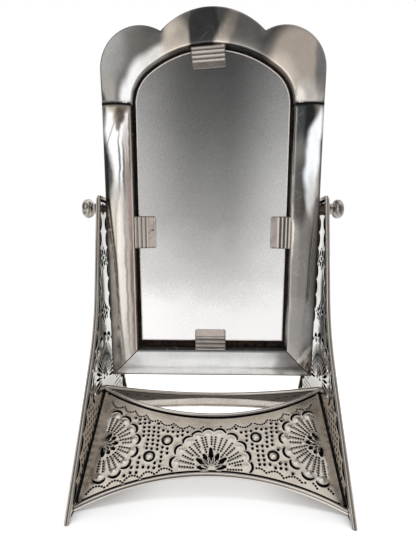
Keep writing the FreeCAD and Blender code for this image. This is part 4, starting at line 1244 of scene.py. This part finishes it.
def crest_front(x, z, far):
    """Depth of the crest's face: pillowed, and shaped like the rails where it meets them."""
    pillow = 0.8 * (1 - math.exp(-far / 5.0))
    depth = CREST_FACE - pillow - 0.35 * (1 - math.exp(-far / 3.0)) * wave(x, z, 4.0, 34.0)
    share = (FRAME_HALF - abs(x)) / RAIL_WIDTH
    near = math.exp(-((z - JOINT_HIGH) / 13.0) ** 2)
    if 0 <= share <= 1:
        depth = depth * (1 - near) + (FRAME_FRONT - rail_front(share)) * near
    return depth


def nearest(spots, x, z):
    """Distance from a place to the nearest of an array of spots."""
    return float(np.min(np.hypot(spots[:, 0] - x, spots[:, 1] - z)))


CREST_STEP = 2.2
CREST_RINGS = (0.18, 0.55, 1.4, 2.5, 3.8, 5.3)


def make_crest():
    """Plate of the crest with its walls, thickened by a modifier."""
    lobes, notch = lobe_line()
    outside = dense([(FRAME_HALF, JOINT_HIGH)] + lobes + [(-FRAME_HALF, JOINT_HIGH)], CREST_STEP)
    inside = dense(arch_line(0.0, 14), CREST_STEP)[::-1]
    outline = outside + dense([outside[-1], inside[0]], CREST_STEP)[1:-1]
    outline += inside + dense([inside[-1], outside[0]], CREST_STEP)[1:-1]
    edge = np.array(outside + inside)
    outer = np.array(outside)
    sheet = PunchedSheet(outline, 4.0, edge_wear=PLAIN)
    for line in (outside, inside):
        for offset in CREST_RINGS:
            for spot, way in zip(line, tangents(line)):
                place = spot + Vector((-way.y, way.x)) * offset
                if place.y > JOINT_HIGH + 0.05 and nearest(edge, *place) > offset * 0.8:
                    sheet.add_point(place, 0.0, PLAIN)

    def inside_crest(x, z):
        return z >= JOINT_HIGH + 0.8 and nearest(edge, x, z) > 6.4 and point_inside(outline, x, z)

    scatter(sheet, outline, 2.6, inside_crest)
    spots, _, _, faces = sheet.triangles()
    points, wear_and_painted_light = [], []
    for x, z in spots:
        far = nearest(edge, x, z)
        rim = nearest(outer, x, z)
        points.append((x, crest_front(x, z, far) + 0.6 * max(0.0, 1 - far / 0.6) ** 2, z))
        # Painted shade along the outer rim and in the crease at each notch; the joint line is
        # marked black.
        corner = 0.75 * max(0.0, 1 - rim / 1.3) if rim < far + 0.01 else 0.0
        crease_shade = 0.95 * math.exp(-(math.dist((abs(x), z), notch) / 2.6) ** 2)
        wear_and_painted_light.append((1 if z < JOINT_HIGH + 0.1 else max(corner, crease_shade), 0, 0))
    walls = []
    back = {}
    for start, end in open_edges(faces):
        if max(spots[start][1], spots[end][1]) < JOINT_HIGH + 0.01:
            continue
        for number in (start, end):
            if number not in back:
                back[number] = len(points)
                x, front, z = points[number]
                points += [(x, front + 0.5, z), (x, FRAME_BACK, z)]
                wear_and_painted_light += [(0.12, 0.12, 0.4) if wear_and_painted_light[number][0] > 0 else PIT] * 2
        walls.append((end, start, back[start], back[end]))
        walls.append((back[end], back[start], back[start] + 1, back[end] + 1))
    piece = make_piece("crest_plate", points, faces + walls, [CREST_TIN_PAINTED_REFLECTIONS], ["crest"],
                       wear_and_painted_light=wear_and_painted_light, smooth=66.0)
    thick = piece.modifiers.new("gauge", "SOLIDIFY")
    thick.thickness = FRAME_GAUGE * MM
    thick.offset = -1.0


def point_inside(outline, x, y):
    inside = False
    for start, end in zip(outline, outline[1:] + outline[:1]):
        if (start[1] > y) != (end[1] > y):
            if x < start[0] + (end[0] - start[0]) * (y - start[1]) / (end[1] - start[1]):
                inside = not inside
    return inside


def make_glass():
    """Arched plate with a polished bevel round its front."""
    rings = ((0.0, GLASS_FRONT + GLASS_THICK), (0.0, GLASS_FRONT + 0.35), (0.95, GLASS_FRONT))
    points = []
    for inset, depth in rings:
        half = OPENING_HALF - GLASS_INSET - inset
        line = arch_line(GLASS_INSET + inset, 16)
        line += [(-half, GLASS_BOTTOM + inset), (half, GLASS_BOTTOM + inset)]
        points += [(x, depth, z) for x, z in line]
    faces = ring_faces(len(rings), len(line))
    make_piece("mirror_plate", points, faces, [GLASS_PAINTED_REFLECTION, GLASS_EDGE], ["mirror_glass"],
               smooth=20.0, face_looks=[1] * (len(faces) - 2) + [0, 0])


def clip_profile(reach):
    """Line of a clip's upper side: leg, rounded ridges and tongue, as (depth, from the wall)."""
    tongue = GLASS_FRONT - CLIP_GAUGE
    run = reach * RIDGE_SHARE
    pitch = run / RIDGES
    ridge = CLIP_ROOT * RIDGE_HEIGHT
    fall = (tongue - CLIP_FRONT) * FALL_SHARE
    corners = [(CLIP_FRONT + CLIP_ROOT, CLIP_START), (CLIP_FRONT, CLIP_START)]
    for number in range(RIDGES):
        base = CLIP_FRONT + fall * number
        foot = CLIP_START + pitch * number
        corners.append((base + ridge, foot + pitch * 0.75))
        corners.append((base + fall, foot + pitch))
    corners += [(tongue, CLIP_START + run + pitch / 2), (tongue, reach)]
    return rounded(corners, [0.5] + [0.6] * (len(corners) - 3), 0.5)


def bump_near(far, places, reach=0.8):
    """Up to 1 close to one of the places."""
    return max(math.exp(-((far - place) / reach) ** 2) for place in places)


def make_clip(name, reach, x, z, turn):
    """Folded strip on a wall of the opening, at (x, z) and turned in that plane."""
    pitch = reach * RIDGE_SHARE / RIDGES
    valleys = [CLIP_START + pitch * (number + 0.75) for number in range(RIDGES)]
    peaks = [CLIP_START + pitch * number for number in range(RIDGES + 1)]
    line = clip_profile(reach)
    under = []
    for spot, way in zip(line, tangents(line)):
        place = spot - Vector((way.y, -way.x)) * CLIP_GAUGE
        under.append((max(place.x, spot.x) if way.y > 0.2 else place.x, place.y))
    section = [(spot.x, spot.y) for spot in line] + under[::-1]
    wear_and_painted_light = []
    # Painted shade in the valleys, at the tip's edge and on both cut sides; painted highlights on
    # the peaks and along the tongue's end.
    for _, far in section:
        valley = bump_near(far, valleys)
        dark = max(0.35 * valley, 0.85 * bump_near(far, [reach], 0.35))
        bright = max(0.9 * bump_near(far, peaks), 0.8 * bump_near(far, [reach], 0.7))
        wear_and_painted_light.append((dark, bright * (1 - valley), 0.75 * valley))
    side_painted_shade = [(0.8, 0, 0.3)] * len(section)
    columns = 24
    turned = Matrix.Translation((x, 0, z)) @ Matrix.Rotation(math.radians(turn), 4, "Y")
    points = []
    for share in evenly(-1, 1, columns):
        edge = max(0.0, abs(share) - 0.93) / 0.07
        for depth, far in section:
            tip = 1.1 * edge ** 2 if far > reach - 2.0 else 0.0
            sway = 0.12 * wave(share * 14 + far, far * 0.7, reach + x, 9.0)
            depth = min(depth + sway, GLASS_FRONT - 0.02)
            points.append(turned @ Vector((CLIP_WIDTH / 2 * share, depth, far - tip)))
    faces = ring_faces(columns + 1, len(section))
    make_piece(f"{name}_strip", points, faces, [CLIP_TIN], [name],
               wear_and_painted_light=side_painted_shade + wear_and_painted_light * (columns - 1) + side_painted_shade, smooth=30.0)


def make_knob(word, side):
    """Turned knob with rings on its collar and a flattened ball."""
    middle = (KNOB_START + BALL_START) / 2
    widest = (BALL_START + KNOB_END) / 2
    profile = [(KNOB_START, KNOB_BORE), (KNOB_START, COLLAR - 0.3), (KNOB_START + 0.3, COLLAR)]
    for off in (-1.0, -0.7, -0.35, 0.0, 0.35, 0.7, 1.0):
        profile.append((middle + off * GROOVE, COLLAR - GROOVE * math.cos(off * math.pi / 2)))
    profile += [(BALL_START - 0.5, COLLAR), (BALL_START - 0.25, COLLAR - 0.35),
                (BALL_START, COLLAR - 0.2)]
    shares = [math.sin(turn) for turn in evenly(0, math.pi / 2, 14)[1:]]
    for edge, low, places in (
            (BALL_START, COLLAR, evenly(BALL_START, widest, 12)[1:]),
            (KNOB_END, NOSE, [widest + (KNOB_END - widest) * share for share in shares])):
        radius = ((edge - widest) ** 2 + (BALL - low) ** 2) / (2 * (BALL - low))
        for along in places:
            height = math.sqrt(max(radius ** 2 - (along - widest) ** 2, 0))
            profile.append((along, BALL - radius + height))
    profile += [(KNOB_END, NOSE - 0.5), (KNOB_END - 0.25, NOSE - 0.9), (KNOB_END - 0.25, 0.05),
                (BORE_END, 0.05), (BORE_END, KNOB_BORE)]
    points, faces = lathe(profile, 48)
    points = [(side * x, y, z) for x, y, z in points]
    make_piece(f"{word}_turned_knob", points, faces, [KNOB_METAL],
               [f"{word}_knob"], f"{word}_knob", smooth=30.0)


def make_sleeve():
    """Rolled sleeve with the turns of its strip showing as rings."""
    steps = 24
    profile = [(FRAME_HALF, BOLT_HOLE)]
    for number, along in enumerate(evenly(FRAME_HALF, SPACER_END, steps)):
        profile.append((along, SLEEVE_RADIUS - 0.16 * (1 - abs(math.sin(math.pi * number / 6)))))
    points, faces = lathe(profile + [(SPACER_END, BOLT_HOLE)], 36)
    points = [(-x, y, z) for x, y, z in points]
    make_piece("left_rolled_sleeve", points, faces, [STEEL], ["left_spacer_sleeve"],
               smooth=60.0)


def make_nut():
    """Six-sided nut with rounded-off corners."""
    flat = NUT_FLATS / 2
    corner = NUT_FLATS / math.sqrt(3)
    turned, faces = lathe([(WASHER_END, BOLT_HOLE), (WASHER_END, flat - 0.1),
                           (WASHER_END + 0.5, corner), (SPACER_END - 0.5, corner),
                           (SPACER_END, flat - 0.1), (SPACER_END, BOLT_HOLE)], 48)
    points = []
    for x, y, z in turned:
        limit = flat / math.cos(math.atan2(y, z) % (math.pi / 3) - math.pi / 6)
        share = min(1.0, limit / math.hypot(y, z))
        points.append((x, y * share, z * share))
    make_piece("right_six_sided_nut", points, faces, [STEEL], ["right_pivot_nut"],
               smooth=25.0)


# Inner walls: painted shade on the left rail, a painted highlight on the right one.
make_side_rail("left", -1, LEFT_RAIL_TIN_PAINTED_REFLECTIONS, (0.9, 0, 0.5),
               [(9.0, 2.0, 5.0, 26.0, 0.35), (14.0, -45.0, 5.0, 40.0, -0.25)])
make_side_rail("right", 1, RIGHT_RAIL_TIN_PAINTED_REFLECTIONS, (0.0, 0.55, 0.15), [(10.0, -30.0, 7.0, 60.0, 0.2)])
make_bottom_rail()
make_crest()
make_glass()
make_clip("left_clip", 18.5, -OPENING_HALF, -21.0, 90.0)
make_clip("right_clip", 16.8, OPENING_HALF, -21.0, -90.0)
make_clip("bottom_clip", 18.5, -1.4, OPENING_BOTTOM, 0.0)
make_clip("top_clip", 16.5, -4.2, JOINT_HIGH + ARCH_RISE - 1.9, 180.0 - 4.4)
for word, side in (("left", -1), ("right", 1)):
    make_knob(word, side)
make_sleeve()
make_nut()


# CAD nodes that show with a material of their own

CAD_LOOKS = {
    "solder": SOLDER,
    "back_cover": BACK_TIN,
    "backing_board": BOARD,
    "wire": WIRE,
    "bolt": STEEL,
    "washer": STEEL,
}
for name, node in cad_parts.items():
    for key, look in CAD_LOOKS.items():
        if key in name:
            node.data.materials.clear()
            node.data.materials.append(look)


# Floor, light and camera

def make_floor():
    """Pale floor that the camera sees as white, but for the shadow near the mirror, which a painted
    glow lifts more along the middle than at the sides.
    """
    side = 6.0
    mesh = bpy.data.meshes.new("floor")
    mesh.from_pydata([(-side, -side, 0), (side, -side, 0), (side, side, 0), (-side, side, 0)], [],
                     [(0, 1, 2, 3)])
    look = new_look("pale_floor")
    paint = look.shader(Base_Color=(0.92, 0.92, 0.92), Roughness=0.9, Specular_IOR_Level=0.0)
    glow = look.add("Emission", {"Color": (1, 1, 1), "Strength": 1.1})
    away = look.add("VectorMath", {0: look.place}, "Value", operation="LENGTH").step(0.2, 0.36)
    # Painted light: near the mirror half the floor's colour is glow along the middle and a tenth at
    # the sides, lifting the shadow under the arches.
    beside = look.maths("ABSOLUTE", look.parts("SeparateXYZ", look.place)[0]).step(0.03, 0.085)
    share = look.maths("MAXIMUM", beside.span(0.0, 1.0, 0.5, 0.1), away)
    share = look.add("LightPath", out="Is Camera Ray") * share
    mesh.materials.append(look.finish(look.add("MixShader", {0: share, 1: paint, 2: glow})))
    floor = add_object("floor", mesh)
    floor.visible_glossy = False


# Studio as polished metal sees it: azimuth and elevation of each soft area in degrees,
# half widths, softness, brightness and how strongly it covers what lies behind it.
STUDIO = [
    (0, 25, 200, 22, 0.6, (0.20, 0.20, 0.20), 1.0),
    (0, -50, 200, 42, 0.35, (0.95, 0.94, 0.93), 1.0),
    (0, 90, 200, 38, 0.5, (0.95, 0.94, 0.92), 1.0),
    (-32, 8, 22, 40, 0.35, (1.15, 1.13, 1.10), 0.95),
    (-62, 0, 9, 60, 0.3, (0.10, 0.11, 0.11), 0.9),
    (38, 5, 12, 50, 0.4, (0.50, 0.44, 0.40), 0.8),
    (58, 5, 5, 60, 0.4, (1.1, 1.08, 1.05), 0.9),
    (75, 0, 10, 60, 0.4, (0.14, 0.14, 0.14), 0.9),
    (180, 10, 88, 70, 0.25, (0.98, 0.98, 0.97), 1.0),
]


def make_world():
    """White for the camera, even light for dull surfaces and the studio for polished ones."""
    sky = Tree(bpy.data.worlds.new("studio"), "Generated")
    x, y, z = sky.parts("SeparateXYZ", sky.place)
    azimuth = sky.maths("ARCTAN2", x, y * -1.0) * math.degrees(1)
    elevation = sky.maths("ARCSINE", z) * math.degrees(1)
    colour = (0.5, 0.5, 0.5)
    for at, high, wide, tall, soft, tone, share in STUDIO:
        off = sky.add("Math", {0: azimuth - at, 1: 180.0, 2: -180.0}, operation="WRAP")
        across = (sky.maths("ABSOLUTE", off) / wide).step(1 - soft, 1 + soft)
        rise = (sky.maths("ABSOLUTE", elevation - high) / tall).step(1 - soft, 1 + soft)
        colour = sky.blend((1.0 - across) * (1.0 - rise) * share, colour, tone)
    glossy = sky.add("Background", {"Color": colour, "Strength": 1.0})
    even = sky.add("Background", {"Color": (1, 1, 1), "Strength": 0.97})
    white = sky.add("Background", {"Color": (1, 1, 1), "Strength": 1.0})
    light = even
    for ray, other in (("Is Glossy Ray", glossy), ("Is Camera Ray", white)):
        light = sky.add("MixShader", {0: sky.add("LightPath", out=ray), 1: light, 2: other})
    bpy.context.scene.world = sky.finish(light, "World")


def add_lamp(name, place, aim, size, power):
    data = bpy.data.lights.new(name, "AREA")
    data.shape = "SQUARE"
    data.size = size
    data.energy = power
    lamp = add_object(name, data)
    lamp.location = place
    lamp.rotation_euler = (Vector(aim) - Vector(place)).to_track_quat("-Z", "Y").to_euler()
    lamp.visible_camera = False
    lamp.visible_glossy = False


PHOTO_HEIGHT = 555
FOCAL_PIXELS = 424.0
SENSOR = 36.0
EYE = (0.003, -0.381, 0.193)
YAW, PITCH, ROLL = (math.radians(angle) for angle in (-1.0, 4.7, 0.2))


def make_camera():
    ahead = Vector((math.sin(YAW) * math.cos(PITCH), math.cos(YAW) * math.cos(PITCH),
                    -math.sin(PITCH)))
    right = Vector((math.cos(YAW), -math.sin(YAW), 0))
    up = right.cross(ahead)
    turned_right = right * math.cos(ROLL) + up * math.sin(ROLL)
    turned_up = up * math.cos(ROLL) - right * math.sin(ROLL)
    data = bpy.data.cameras.new("camera")
    data.sensor_width = SENSOR
    data.lens = FOCAL_PIXELS / PHOTO_HEIGHT * SENSOR
    data.clip_start = 0.01
    camera = add_object("camera", data)
    turn = Matrix((turned_right, turned_up, -ahead)).transposed()
    camera.matrix_world = Matrix.Translation(EYE) @ turn.to_4x4()
    bpy.context.scene.camera = camera


make_floor()
make_world()
add_lamp("overhead", (0.02, 0.25, 0.86), (0, 0, 0), 0.7, 9.0)
make_camera()
bpy.context.scene.view_settings.view_transform = "Standard"
